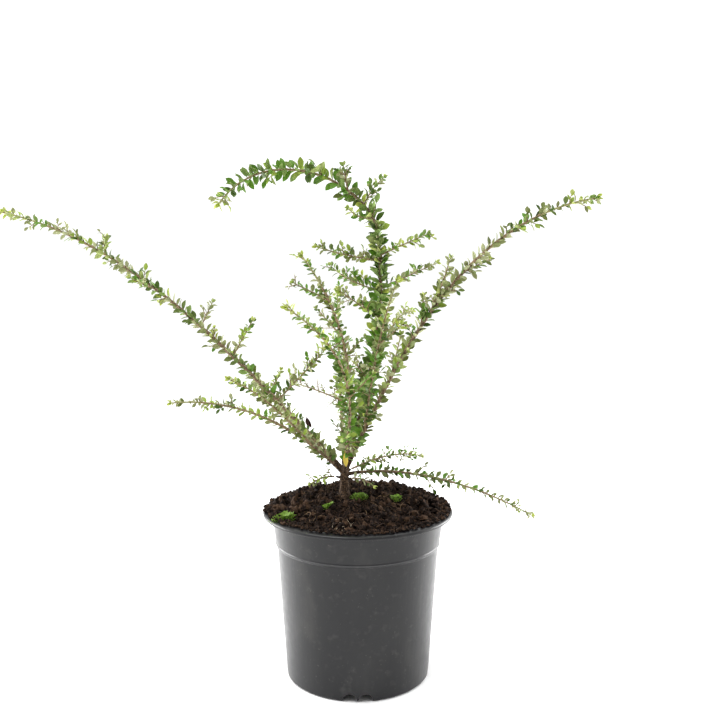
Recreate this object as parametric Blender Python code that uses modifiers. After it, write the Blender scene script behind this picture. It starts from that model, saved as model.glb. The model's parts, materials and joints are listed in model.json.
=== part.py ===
"""Potted Tibetan cotoneaster: a two litre nursery pot, its compost, a short forking trunk, boughs and foliage.

Units are metres and +Z is up. The origin is the middle of the pot's flat underside. The plant is seen from -Y,
so +X is to the right, and headings are degrees from +X towards +Y, which is away from the viewer.

Every limb is one arc. It sets off from a point of its parent with a heading and a rise, and both turn along
its length. A limb is cut into pieces: a bare bough first, then one to three masses of foliage. A mass is a
stem with side twigs, spurs and leaves that follow a seeded rule, fused to one solid.
"""

import math
import random
from collections import namedtuple

import bmesh
import bpy
from mathutils import Matrix, Vector, noise

GAP = 0.0003
CAP_WELD = 0.00001
SLIVER = 0.0000015

# Pot
POT_HEIGHT = 0.153
RIM_RADIUS = 0.085
COLLAR_TOP_RADIUS = 0.0768
COLLAR_FOOT_RADIUS = 0.0736
COLLAR_DEPTH = 0.030
LEDGE_HEIGHT = POT_HEIGHT - COLLAR_DEPTH
LEDGE_RISE = 0.0011
BODY_TOP_RADIUS = 0.0724
BASE_RADIUS = 0.0644
WALL = 0.0012
LIP_THICKNESS = 0.0028
LIP_CHAMFER = 0.0016
SKIRT_WIDTH = 0.0018
FOOT_CHAMFER = 0.0018
FLOOR_CORNER = 0.002
FLOOR_HEIGHT = 0.006
FLOOR_THICKNESS = 0.0015
CENTRE_FOOT_RADIUS = 0.016
NOTCH_HEIGHT = 0.005
NOTCH_ARCH_WIDTH = 0.0112
NOTCH_TOOTH = 0.0007
NOTCH_CUT_DEPTH = 0.02
DRAIN_SIDES = 12
NOTCH_COUNT = 4
DRAIN_HOLE_RADIUS = 0.004
DRAIN_HOLE_CIRCLE = 0.044
DRAIN_HOLE_COUNT = 4
POT_STEPS = 44

# Compost
EDGE_BELOW_RIM = 0.004
MOUND_RISE = 0.0135
MOUND_CENTRE = (0.0, 0.008)
MOUND_SHAPE = 0.8
LUMP_HEIGHT = 0.0042
LUMP_SIZE = 0.011
LUMP_FADE = 0.010
COMPOST_RINGS = 8
COMPOST_STEPS = 36

# Trunk
TRUNK_FOOT = (-0.012, 0.0)
TRUNK_HEIGHT = 0.028
TRUNK_FOOT_RADIUS = 0.0046
TRUNK_TOP_RADIUS = 0.0034
TRUNK_SIDES = 8
TRUNK_RINGS = (0.0, 0.14, 0.34, 0.62, 0.88, 1.0)
FLARE = 0.0016
FLARE_FADE = 0.12
LEVEL_PATCH_RADIUS = 0.014
ROOT_HEADINGS = (20, 105, 190, 275)
ROOT_SPREAD = 0.0088
ROOT_RADII = (0.0026, 0.0024, 0.0014)
ROOT_SIDES = 5
BLOCK = 0.04
FORK_ARM = 0.012
FORK_OFFSET = 0.0015

# Foliage
PATH_STEP = 0.002
BOUGH_SIDES = 6
BOUGH_RING_SPACING = 0.010
TWIG_SIDES = 3
STEM_RING_SPACING = 0.014
STEM_WIDER = 1.25
SHOOT_RADIUS = 0.0010
SHOOT_BENDS = (0.0, 0.35, 0.7, 1.0)
TWIG_TAPER = 0.45
LEAF_WIDTH = 0.56
LEAF_THICKNESS = 0.065
LEAF_SPACING = 0.83
LEAF_TURN = 144
SPUR_SPACING = 0.062
SPUR_LENGTH = 0.011
SPUR_RADIUS = 0.00085
SPUR_LEAVES = 2
SHOOT_LEAF = 0.9
LEAF_LEAN = (50, 72)
LEAF_TWIST = 30
LEAF_APART = 0.0026
LEAF_CLEARANCE = 0.0019
TWIG_CLEARANCE = 0.0013
POT_CLEARANCE = 0.004
SAMPLE_SPACING = 0.001
MOST_ATTEMPTS = 5

# at is the place along the parent, from 0 to 1. cuts are the distances where the limb is divided.
# The first piece is a bare bough where bough is true.
Limb = namedtuple(
    "Limb", "name parent at heading swing rise bend ease length base tip leaf bough cuts"
)

LIMBS = (
    Limb("left_long", "trunk", 0.93, 163, 3, 44, -36, 2.3,
         0.430, 0.0023, 0.0007, 0.0115, True, (0.034, 0.150, 0.290)),
    Limb("left_low", "trunk", 0.84, -161, 15, 47, -46, 1.2,
         0.177, 0.0017, 0.0006, 0.0115, True, (0.040,)),
    Limb("rear_left", "trunk", 0.90, 136, -14, 26, -2, 0.8,
         0.205, 0.0018, 0.0006, 0.0115, True, (0.034, 0.122)),
    Limb("rear", "trunk", 0.96, 95, -3, 47, -4, 1.0,
         0.210, 0.0018, 0.0006, 0.0115, True, (0.034, 0.122)),
    Limb("centre_tall", "trunk", 1.0, 55, -47, 61, 39, 1.1,
         0.225, 0.0023, 0.0015, 0.0125, True, (0.064, 0.145)),
    Limb("right_long", "trunk", 0.96, -15, -14, 65, -58, 2.4,
         0.333, 0.0022, 0.0007, 0.0115, True, (0.042, 0.150, 0.243)),
    Limb("centre_left", "trunk", 0.95, -73, -64, 67, -20, 1.2,
         0.229, 0.0019, 0.0006, 0.0115, True, (0.050, 0.140)),
    Limb("front", "trunk", 0.86, -84, -64, 45, -13, 2.6,
         0.244, 0.0018, 0.0006, 0.0115, True, (0.034, 0.132)),
    Limb("right_low", "trunk", 0.78, 23, -8, 8, -39, 0.6,
         0.197, 0.0016, 0.0006, 0.0115, True, (0.030, 0.106)),
    Limb("right_thin", "trunk", 0.86, 45, -4, 10, -28, 1.6,
         0.100, 0.0010, 0.0006, 0.0100, False, ()),
    Limb("arch", "centre_tall", 1.0, -10, 62, 116, 109, 0.9,
         0.175, 0.0015, 0.0007, 0.0125, False, (0.088,)),
    Limb("front_right", "right_long", 0.12, -82, 9, 51, -8, 2.0,
         0.185, 0.0012, 0.0006, 0.0115, False, (0.095,)),
    Limb("rear_right", "centre_tall", 0.28, 67, -10, 47, -49, 2.6,
         0.137, 0.0012, 0.0006, 0.0115, False, ()),
    Limb("front_left", "left_low", 0.22, -126, 6, 41, -21, 2.0,
         0.131, 0.0012, 0.0006, 0.0115, False, ()),
    Limb("base_left", "trunk", 0.66, 190, 0, 22, -60, 1.0,
         0.030, 0.0010, 0.0006, 0.0085, False, ()),
    Limb("base_right", "trunk", 0.62, -38, 0, 24, -50, 1.0,
         0.032, 0.0010, 0.0006, 0.0085, False, ()),
)

# Side shoots long enough to show from a step away, each fused into the mass that it leaves
Shoot = namedtuple("Shoot", "parent at heading swing rise bend length leafy")

SHOOTS = (
    Shoot("left_long", 0.20, -26, -10, 44, 0, 0.072, True),
    Shoot("left_long", 0.335, -18, 0, 59, 0, 0.038, True),
    Shoot("left_long", 0.43, 28, 0, 62, 0, 0.024, True),
    Shoot("left_long", 0.56, -150, 0, 20, 10, 0.026, True),
    Shoot("left_long", 0.70, 100, 0, 40, 0, 0.024, True),
    Shoot("centre_left", 0.31, -140, -16, 28, -8, 0.054, False),
    Shoot("centre_left", 0.80, 178, 0, 26, 0, 0.030, True),
    Shoot("centre_tall", 0.36, -128, -6, 51, -13, 0.025, True),
    Shoot("centre_tall", 0.62, -129, -18, 26, 7, 0.055, True),
    Shoot("centre_tall", 0.73, 157, -7, 9, 27, 0.056, True),
    Shoot("centre_tall", 0.74, 30, -11, 19, 3, 0.061, True),
    Shoot("centre_tall", 0.85, -161, -3, 7, 10, 0.060, True),
    Shoot("centre_tall", 0.87, -10, 0, 26, -4, 0.047, True),
    Shoot("centre_tall", 0.52, 80, 0, 30, 10, 0.040, True),
    Shoot("right_long", 0.28, 49, 15, 68, -6, 0.040, True),
    Shoot("right_long", 0.44, 73, 0, 69, 0, 0.027, True),
    Shoot("right_long", 0.47, -42, -12, 57, 12, 0.056, True),
    Shoot("right_long", 0.62, 20, 0, 20, 10, 0.024, True),
    Shoot("arch", 0.03, -153, 0, -8, 50, 0.026, True),
    Shoot("arch", 0.11, 34, -8, 63, -26, 0.032, True),
    Shoot("arch", 0.22, -133, 16, 72, 0, 0.022, True),
    Shoot("rear", 0.55, 20, 0, 50, -10, 0.036, True),
    Shoot("rear", 0.74, 160, 0, 45, 0, 0.032, True),
    Shoot("front", 0.48, -20, 0, 45, 0, 0.028, True),
    Shoot("rear_left", 0.60, 70, 0, 40, 0, 0.034, True),
    Shoot("front_right", 0.60, -20, 0, 40, 0, 0.026, True),
)

LEAF_PIECES = {
    1: ("leaves",),
    2: ("lower_leaves", "tip_leaves"),
    3: ("lower_leaves", "middle_leaves", "tip_leaves"),
}

PLASTIC = ("pot_plastic", (0.075, 0.076, 0.080), 0.42)
PEAT = ("compost", (0.035, 0.022, 0.015), 0.95)
BARK = ("trunk_bark", (0.105, 0.068, 0.042), 0.85)
YOUNG_BARK = ("bough_bark", (0.150, 0.100, 0.060), 0.75)
GREEN = ("leaf_green", (0.085, 0.155, 0.040), 0.50)


def clear_scene():
    for obj in list(bpy.data.objects):
        bpy.data.objects.remove(obj)


def new_collection(name):
    collection = bpy.data.collections.new(name)
    bpy.context.scene.collection.children.link(collection)
    return collection


def surface_of(finish):
    """The Principled material of a (name, colour, roughness) finish, made once."""
    name, colour, roughness = finish
    surface = bpy.data.materials.get(name)
    if surface:
        return surface
    surface = bpy.data.materials.new(name)
    surface.use_nodes = True
    shader = surface.node_tree.nodes["Principled BSDF"]
    shader.inputs["Base Color"].default_value = (*colour, 1.0)
    shader.inputs["Roughness"].default_value = roughness
    shader.inputs["Metallic"].default_value = 0.0
    surface.diffuse_color = (*colour, 1.0)
    return surface


def new_object(name, mesh, collection, finish=None):
    obj = bpy.data.objects.new(name, mesh)
    collection.objects.link(obj)
    if finish:
        mesh.materials.clear()
        mesh.materials.append(surface_of(finish))
    return obj


def baked(obj, name):
    """The object's evaluated mesh, with the points of loose caps welded, in place of the object."""
    bpy.context.view_layer.update()
    graph = bpy.context.evaluated_depsgraph_get()
    mesh = bpy.data.meshes.new_from_object(obj.evaluated_get(graph))
    bm = bmesh.new()
    bm.from_mesh(mesh)
    bmesh.ops.remove_doubles(bm, verts=bm.verts, dist=CAP_WELD)
    bm.to_mesh(mesh)
    bm.free()
    place = obj.matrix_world.copy()
    home = obj.users_collection[0]
    bpy.data.objects.remove(obj)
    made = new_object(name, mesh, home)
    made.matrix_world = place
    return made


def turned(name, profile, steps, collection):
    """A solid of revolution about Z. The profile runs from the axis at the top to the axis at the bottom."""
    mesh = bpy.data.meshes.new(name)
    bm = bmesh.new()
    points = [bm.verts.new((radius, 0.0, height)) for radius, height in profile]
    for one, other in zip(points, points[1:]):
        bm.edges.new((one, other))
    bm.to_mesh(mesh)
    bm.free()
    obj = new_object(name, mesh, collection)
    screw = obj.modifiers.new("turn", "SCREW")
    screw.axis = "Z"
    screw.steps = steps
    screw.render_steps = steps
    screw.use_merge_vertices = True
    screw.merge_threshold = 0.0001
    return obj


# Pot: the wall, then the cutters of its drains
def wall_radius(height):
    """Outer radius of the pot wall below its lip: the body's taper, then the wider collar."""
    if height < LEDGE_HEIGHT:
        share = height / LEDGE_HEIGHT
        return BASE_RADIUS + (BODY_TOP_RADIUS - BASE_RADIUS) * share
    share = (height - LEDGE_HEIGHT) / COLLAR_DEPTH
    return COLLAR_FOOT_RADIUS + (COLLAR_TOP_RADIUS - COLLAR_FOOT_RADIUS) * share


def inner_wall(inset):
    """Inside of the pot from the floor to the top of the collar, drawn in by inset."""
    floor = FLOOR_HEIGHT + FLOOR_THICKNESS + inset
    inward = WALL + inset
    return [
        (wall_radius(floor) - inward - FLOOR_CORNER, floor),
        (wall_radius(floor) - inward, floor + FLOOR_CORNER),
        (BODY_TOP_RADIUS - inward, LEDGE_HEIGHT - LEDGE_RISE),
        (COLLAR_FOOT_RADIUS - inward, LEDGE_HEIGHT + LEDGE_RISE),
        (COLLAR_TOP_RADIUS - inward, POT_HEIGHT - EDGE_BELOW_RIM),
    ]


def pot_profile():
    """From the floor inside, up the wall, over the lip, down the outer side and in to the centre foot."""
    under_lip = POT_HEIGHT - LIP_THICKNESS
    inside = [(0.0, FLOOR_HEIGHT + FLOOR_THICKNESS)] + inner_wall(0.0)
    lip = [
        (COLLAR_TOP_RADIUS, POT_HEIGHT),
        (RIM_RADIUS - LIP_CHAMFER, POT_HEIGHT),
        (RIM_RADIUS, POT_HEIGHT - LIP_CHAMFER),
        (RIM_RADIUS, under_lip),
        (COLLAR_TOP_RADIUS, under_lip),
    ]
    outside = [
        (COLLAR_FOOT_RADIUS, LEDGE_HEIGHT),
        (BODY_TOP_RADIUS, LEDGE_HEIGHT - LEDGE_RISE),
        (BASE_RADIUS, FOOT_CHAMFER),
        (BASE_RADIUS - FOOT_CHAMFER, 0.0),
    ]
    skirt_inside = BASE_RADIUS - FOOT_CHAMFER - SKIRT_WIDTH
    underside = [
        (skirt_inside, 0.0),
        (skirt_inside, FLOOR_HEIGHT),
        (CENTRE_FOOT_RADIUS, FLOOR_HEIGHT),
        (CENTRE_FOOT_RADIUS, 0.0),
        (0.0, 0.0),
    ]
    return inside + lip + outside + underside


def drain_cutter(name, radius, depth, place, turn, collection):
    mesh = bpy.data.meshes.new(name)
    bm = bmesh.new()
    bmesh.ops.create_cone(
        bm, cap_ends=True, segments=DRAIN_SIDES, radius1=radius, radius2=radius, depth=depth
    )
    bm.to_mesh(mesh)
    bm.free()
    obj = new_object(name, mesh, collection)
    obj.matrix_world = Matrix.Translation(place) @ turn
    obj.hide_render = True
    obj.display_type = "WIRE"
    return obj


def add_drain_cutters(cutters):
    """Notches of two arches with a tooth between, through the skirt, and round holes in the raised floor."""
    for notch in range(NOTCH_COUNT):
        angle = math.tau * notch / NOTCH_COUNT - math.pi / 2
        around = Matrix.Rotation(angle, 4, "Z")
        for side in (-1, 1):
            aside = side * (NOTCH_ARCH_WIDTH + NOTCH_TOOTH) / 2
            place = around @ Vector((BASE_RADIUS, aside, 0.0))
            lie_down = around @ Matrix.Rotation(math.pi / 2, 4, "Y")
            squash = Matrix.Scale(2 * NOTCH_HEIGHT / NOTCH_ARCH_WIDTH, 4, (1, 0, 0))
            drain_cutter(
                f"notch_{notch}_{'left' if side < 0 else 'right'}",
                NOTCH_ARCH_WIDTH / 2, NOTCH_CUT_DEPTH, place, lie_down @ squash, cutters,
            )
    for hole in range(DRAIN_HOLE_COUNT):
        angle = math.tau * (hole + 0.5) / DRAIN_HOLE_COUNT
        place = Vector((
            DRAIN_HOLE_CIRCLE * math.cos(angle),
            DRAIN_HOLE_CIRCLE * math.sin(angle),
            FLOOR_HEIGHT + FLOOR_THICKNESS / 2,
        ))
        drain_cutter(
            f"drain_{hole}", DRAIN_HOLE_RADIUS, 3 * FLOOR_THICKNESS, place,
            Matrix.Identity(4), cutters,
        )


def make_pot(parts, cutters):
    pot = turned("pot", pot_profile(), POT_STEPS, parts)
    pot.data.materials.append(surface_of(PLASTIC))
    add_drain_cutters(cutters)
    cut = pot.modifiers.new("drains", "BOOLEAN")
    cut.operation = "DIFFERENCE"
    cut.operand_type = "COLLECTION"
    cut.collection = cutters
    pot.data.shade_smooth()
    pot.data.set_sharp_from_angle(angle=math.radians(30))
    return pot


# Compost: a lumpy mound that fills the pot, level where the trunk stands
def mound_height(x, y):
    """Height of the smooth mound above the pot's underside."""
    edge = POT_HEIGHT - EDGE_BELOW_RIM
    away = math.hypot(x - MOUND_CENTRE[0], y - MOUND_CENTRE[1]) / COLLAR_TOP_RADIUS
    return edge + MOUND_RISE * max(0.0, 1.0 - away * away) ** MOUND_SHAPE


GROUND = mound_height(*TRUNK_FOOT)


def compost_height(x, y):
    """The mound with its lumps, made level round the trunk."""
    spot = Vector((x, y, 0.0))
    lump = noise.noise(spot / LUMP_SIZE) + 0.5 * noise.noise(2.2 * spot / LUMP_SIZE)
    rim_fade = min(1.0, (COLLAR_TOP_RADIUS - math.hypot(x, y)) / LUMP_FADE)
    height = mound_height(x, y) + LUMP_HEIGHT * lump * max(0.0, rim_fade)
    away = math.hypot(x - TRUNK_FOOT[0], y - TRUNK_FOOT[1])
    share = min(1.0, max(0.0, (away - LEVEL_PATCH_RADIUS) / LUMP_FADE))
    return GROUND + (height - GROUND) * share


def make_compost(parts):
    side = inner_wall(GAP)[::-1]
    edge_radius, edge_height = side[0]
    top = [
        (edge_radius * ring / COMPOST_RINGS, POT_HEIGHT)
        for ring in range(COMPOST_RINGS)
    ]
    bottom = [(0.0, side[-1][1])]
    solid = turned("compost_blank", top + side + bottom, COMPOST_STEPS, parts)
    compost = baked(solid, "compost")
    for vertex in compost.data.vertices:
        if vertex.co.z > edge_height:
            vertex.co.z = compost_height(vertex.co.x, vertex.co.y)
    compost.data.materials.append(surface_of(PEAT))
    compost.data.shade_smooth()
    return compost


# Limbs: arcs, and the tubes along them
def direction(heading, rise):
    turn = math.radians(heading)
    lift = math.radians(rise)
    level = math.cos(lift)
    return Vector((level * math.cos(turn), level * math.sin(turn), math.sin(lift)))


def arc_points(start, heading, swing, rise, bend, ease, length):
    """Points about PATH_STEP apart. The heading turns by swing and the rise by bend along the way."""
    count = max(4, round(length / PATH_STEP))
    points = [start.copy()]
    for number in range(count):
        share = ((number + 0.5) / count) ** ease
        step = direction(heading + swing * share, rise + bend * share)
        points.append(points[-1] + step * (length / count))
    return points


def place_along(points, share):
    """The point at a share of the way along a list of points, and the direction there."""
    last = len(points) - 1
    spot = min(max(share, 0.0), 1.0) * last
    index = min(int(spot), last - 1)
    step = points[index + 1] - points[index]
    return points[index] + step * (spot - index), step.normalized()


def thickness(limb, share):
    """Radius of a limb at a share of its length."""
    return limb.tip + (limb.base - limb.tip) * (1.0 - share) ** 0.8


def limb_paths():
    foot = Vector((*TRUNK_FOOT, GROUND))
    paths = {"trunk": arc_points(foot, 95, 0, 89, 2, 1.0, TRUNK_HEIGHT)}
    for limb in LIMBS:
        start, _ = place_along(paths[limb.parent], limb.at)
        if limb.parent == "trunk":
            start += FORK_OFFSET * direction(limb.heading, 0)
        paths[limb.name] = arc_points(
            start, limb.heading, limb.swing, limb.rise, limb.bend, limb.ease, limb.length
        )
    return paths


def cross_section(sides):
    """A closed outline of unit radius that a tube's curve is swept with."""
    name = f"section_{sides}"
    if name in bpy.data.objects:
        return bpy.data.objects[name]
    curve = bpy.data.curves.new(name, "CURVE")
    curve.dimensions = "2D"
    spline = curve.splines.new("POLY")
    spline.points.add(sides - 1)
    for number, point in enumerate(spline.points):
        angle = -math.tau * number / sides
        point.co = (math.cos(angle), math.sin(angle), 0.0, 1.0)
    spline.use_cyclic_u = True
    obj = bpy.data.objects.new(name, curve)
    bpy.data.collections["cutters"].objects.link(obj)
    obj.hide_render = True
    return obj


def tube(name, points, radii, sides, collection):
    """A closed tapering tube through the points, made as a curve and then turned into a mesh."""
    curve = bpy.data.curves.new(name, "CURVE")
    curve.dimensions = "3D"
    curve.bevel_mode = "OBJECT"
    curve.bevel_object = cross_section(sides)
    curve.use_fill_caps = True
    spline = curve.splines.new("POLY")
    spline.points.add(len(points) - 1)
    for spot, point, radius in zip(spline.points, points, radii):
        spot.co = (*point, 1.0)
        spot.radius = radius
    obj = bpy.data.objects.new(name + "_curve", curve)
    collection.objects.link(obj)
    return baked(obj, name)


# A piece is the part of a limb that lies between two distances along its path.
Piece = namedtuple("Piece", "node limb path start end is_bough")


def rings_of(piece, spacing):
    """Points along a piece, about spacing apart, and the wood's radius at each."""
    count = max(1, round((piece.end - piece.start) / spacing))
    points = []
    radii = []
    for number in range(count + 1):
        distance = piece.start + (piece.end - piece.start) * number / count
        share = distance / piece.limb.length
        points.append(place_along(piece.path, share)[0])
        radii.append(thickness(piece.limb, share))
    return points, radii


def piece_tube(piece, sides, spacing, collection):
    """The wood of a piece. A tube of few sides is made wider, to hold as much wood as a round one."""
    points, radii = rings_of(piece, spacing)
    wider = STEM_WIDER if sides == TWIG_SIDES else 1.0
    return tube(piece.node, points, [wider * radius for radius in radii], sides, collection)


# Joining: one closed solid from pieces that overlap
def is_closed(mesh):
    """True where every edge has two faces, also with points that nearly coincide taken as one."""
    bm = bmesh.new()
    bm.from_mesh(mesh)
    answer = bool(bm.faces) and all(edge.is_manifold for edge in bm.edges)
    bmesh.ops.remove_doubles(bm, verts=bm.verts, dist=2 * SLIVER)
    answer = answer and all(edge.is_manifold for edge in bm.edges)
    bm.free()
    return answer


def islands_of(faces):
    """Groups of faces that are connected through their edges."""
    left = set(faces)
    islands = []
    while left:
        island = []
        to_visit = [left.pop()]
        while to_visit:
            face = to_visit.pop()
            island.append(face)
            near = {other for edge in face.edges for other in edge.link_faces} & left
            left -= near
            to_visit.extend(near)
        islands.append(island)
    return islands


def drop_scraps(mesh):
    """Keeps the largest connected piece of a mesh, with its slivers dissolved."""
    bm = bmesh.new()
    bm.from_mesh(mesh)
    bmesh.ops.remove_doubles(bm, verts=bm.verts, dist=SLIVER)
    bmesh.ops.dissolve_degenerate(bm, edges=bm.edges, dist=SLIVER)
    for scrap in sorted(islands_of(bm.faces), key=len)[:-1]:
        bmesh.ops.delete(bm, geom=scrap, context="FACES")
    bmesh.ops.triangulate(bm, faces=bm.faces)
    bm.to_mesh(mesh)
    bm.free()


def joined(name, first, heap, parts, finish, cut=None):
    """Fuses first with all the objects of the collection heap, and cuts it with the object cut.

    The pieces are removed. The answer is None where no solver gives one closed solid.
    """
    for solver in ("EXACT", "MANIFOLD"):
        first.modifiers.clear()
        join = first.modifiers.new("join", "BOOLEAN")
        join.operation = "UNION"
        join.operand_type = "COLLECTION"
        join.collection = heap
        join.solver = solver
        if cut:
            trim = first.modifiers.new("trim", "BOOLEAN")
            trim.operation = "DIFFERENCE"
            trim.object = cut
        bpy.context.view_layer.update()
        graph = bpy.context.evaluated_depsgraph_get()
        mesh = bpy.data.meshes.new_from_object(first.evaluated_get(graph))
        drop_scraps(mesh)
        if is_closed(mesh):
            break
        mesh = None
    for obj in list(heap.objects) + [first]:
        bpy.data.objects.remove(obj)
    return new_object(name, mesh, parts, finish) if mesh else None


# Trunk: from the level ground to the fork, with an arm for each limb that leaves it
def arm_length(limb):
    """How far a limb's own wood is part of the trunk. A twig at the base has a short arm."""
    return FORK_ARM if limb.bough else FORK_ARM / 2


def trunk_arms(paths):
    return [
        Piece(limb.name + "_arm", limb, paths[limb.name], 0.0, arm_length(limb), False)
        for limb in LIMBS
        if limb.parent == "trunk"
    ]


def trunk_radius(share):
    """The trunk's taper, with a flare that dies away a few millimetres above the ground."""
    taper = TRUNK_TOP_RADIUS + (TRUNK_FOOT_RADIUS - TRUNK_TOP_RADIUS) * (1.0 - share)
    return taper + FLARE * math.exp(-share / FLARE_FADE)


def add_root_flare(path, heap):
    """Short buttresses that run out from the trunk and dip into the level ground."""
    drop = Vector((0.0, 0.0, 1.0))
    for heading in ROOT_HEADINGS:
        outward = ROOT_SPREAD * direction(heading, 0)
        shoulder = path[0] + 0.95 * ROOT_SPREAD * drop
        knee = path[0] + 0.55 * outward + 0.30 * ROOT_SPREAD * drop
        toe = path[0] + outward - 0.15 * ROOT_SPREAD * drop
        tube("root", [shoulder, knee, toe], ROOT_RADII, ROOT_SIDES, heap)


def below_ground(cutters):
    """A block whose top is the level that the trunk is cut at."""
    mesh = bpy.data.meshes.new("below_ground")
    bm = bmesh.new()
    bmesh.ops.create_cube(bm, size=BLOCK)
    bm.to_mesh(mesh)
    bm.free()
    block = new_object("below_ground", mesh, cutters)
    block.location = (*TRUNK_FOOT, GROUND + GAP - BLOCK / 2)
    block.hide_render = True
    block.display_type = "WIRE"
    return block


def make_trunk(paths, parts, heap, cutters):
    path = paths["trunk"]
    points = [place_along(path, share)[0] for share in TRUNK_RINGS]
    points[0] -= Vector((0.0, 0.0, TRUNK_FOOT_RADIUS))
    radii = [trunk_radius(share) for share in TRUNK_RINGS]
    column = tube("trunk_column", points, radii, TRUNK_SIDES, parts)
    add_root_flare(path, heap)
    for arm in trunk_arms(paths):
        piece_tube(arm, BOUGH_SIDES, FORK_ARM / 3, heap)
    return joined("trunk", column, heap, parts, BARK, cut=below_ground(cutters))


# Foliage: what a leaf or twig must stay clear of
Sample = namedtuple("Sample", "node point reach")


def clear_of(samples, points, node, distance):
    """True where no point lies within a distance of another node's sample, or of the pot and compost."""
    for point in points:
        if math.hypot(point.x, point.y) < RIM_RADIUS + POT_CLEARANCE:
            if point.z < max(POT_HEIGHT, mound_height(point.x, point.y)) + POT_CLEARANCE:
                return False
        for sample in samples:
            if sample.node == node:
                continue
            if (sample.point - point).length_squared < (sample.reach + distance) ** 2:
                return False
    return True


def leaf_samples(root, along, across, length):
    """Points on a leaf's blade close enough together that none slips between them."""
    points = []
    for share, spread in ((0.3, 0.6), (0.5, 1.0), (0.75, 0.5), (1.0, 0.0)):
        centre = root + along * (length * share)
        points.append(centre)
        if spread:
            aside = across * (0.5 * LEAF_WIDTH * length * spread)
            points.extend((centre + aside, centre - aside))
    return points


def leaf(root, along, across, length, heap):
    """A pointed blade of eight faces. Its root lies at the middle of the twig."""
    mesh = bpy.data.meshes.new("leaf")
    bm = bmesh.new()
    bmesh.ops.create_uvsphere(bm, u_segments=4, v_segments=2, radius=0.5)
    size = (LEAF_WIDTH * length, LEAF_THICKNESS * length, length)
    bmesh.ops.scale(bm, vec=size, verts=bm.verts)
    bmesh.ops.translate(bm, vec=(0.0, 0.0, 0.5 * length), verts=bm.verts)
    normal = along.cross(across).normalized()
    turn = Matrix((across, normal, along)).transposed().to_4x4()
    if turn.determinant() < 0:
        turn = Matrix((-across, normal, along)).transposed().to_4x4()
    bm.transform(Matrix.Translation(root) @ turn)
    bm.to_mesh(mesh)
    bm.free()
    return new_object("leaf", mesh, heap)


class Mass:
    """One node of foliage: its stem, twigs and leaves, and what they have to stay clear of."""

    def __init__(self, node, samples, heap, chance):
        self.node = node
        self.samples = samples
        self.heap = heap
        self.chance = chance
        self.leaf_middles = []

    def try_leaf(self, root, along_twig, roll, lean, length):
        side = along_twig.cross(Vector((0.0, 0.0, 1.0)))
        if side.length < 0.2:
            side = along_twig.cross(Vector((0.0, 1.0, 0.0)))
        outward = Matrix.Rotation(math.radians(roll), 3, along_twig) @ side.normalized()
        lean = math.radians(lean)
        along = (math.cos(lean) * along_twig + math.sin(lean) * outward).normalized()
        across = along.cross(along_twig).normalized()
        twist = math.radians(self.chance.uniform(-LEAF_TWIST, LEAF_TWIST))
        across = Matrix.Rotation(twist, 3, along) @ across
        points = leaf_samples(root, along, across, length)
        middle = points[3]
        if any((middle - other).length < LEAF_APART for other in self.leaf_middles):
            return
        if not clear_of(self.samples, points, self.node, LEAF_CLEARANCE):
            return
        leaf(root, along, across, length, self.heap)
        self.leaf_middles.append(middle)
        self.samples.extend(Sample(self.node, point, 0.0) for point in points)

    def dress(self, points, leaf_length, spacing):
        """Leaves in a loose spiral along a twig."""
        reach = sum((b - a).length for a, b in zip(points, points[1:]))
        count = max(1, round(reach / spacing))
        roll = self.chance.uniform(0, 360)
        for number in range(count):
            spot, along = place_along(points, (number + 0.6) / count)
            length = leaf_length * self.chance.uniform(0.85, 1.1)
            roll += LEAF_TURN + self.chance.uniform(-18, 18)
            self.try_leaf(spot, along, roll, self.chance.uniform(*LEAF_LEAN), length)

    def twig(self, points, radius, leaf_length, spacing, leafy=True):
        """A side twig, left out where it would touch another node's wood or leaves."""
        way = [place_along(points, step / 6)[0] for step in range(1, 7)]
        if not clear_of(self.samples, way, self.node, TWIG_CLEARANCE + radius):
            return
        count = len(points) - 1
        radii = [radius * (1.0 - TWIG_TAPER * number / count) for number in range(count + 1)]
        tube("twig", points, radii, TWIG_SIDES, self.heap)
        self.samples.extend(Sample(self.node, point, radius) for point in way)
        if leafy:
            self.dress(points, leaf_length, spacing)
        spot, along = place_along(points, 0.97)
        self.try_leaf(spot, along, 90, 8, leaf_length)

    def spur(self, root, along, limb):
        """A short side twig with a tuft of leaves."""
        roll = self.chance.uniform(0, 360)
        side = along.cross(Vector((0.3, 0.2, 1.0))).normalized()
        outward = Matrix.Rotation(math.radians(roll), 3, along) @ side
        aim = (0.75 * along + outward).normalized()
        length = SPUR_LENGTH * self.chance.uniform(0.8, 1.25)
        leaf_length = SHOOT_LEAF * limb.leaf
        self.twig([root, root + aim * length], SPUR_RADIUS, leaf_length, length / SPUR_LEAVES)


# Laying out: where each piece of wood starts and ends
def first_clear(limb, path, samples):
    """The distance along a side limb at which its end face clears the wood that it leaves."""
    needed = GAP + STEM_WIDER * limb.base
    distance = 0.0
    while not clear_of(samples, [place_along(path, distance / limb.length)[0]], limb.name, needed):
        distance += GAP
    return distance


def first_past_tip(limb, path, parent_path):
    """The distance along a limb that grows on from a tip at which its end face has left that tip."""
    before = parent_path[-1] - parent_path[-2]
    kink = before.angle(path[1] - path[0])
    return GAP + 1.1 * STEM_WIDER * limb.base * math.sin(kink)


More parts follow.
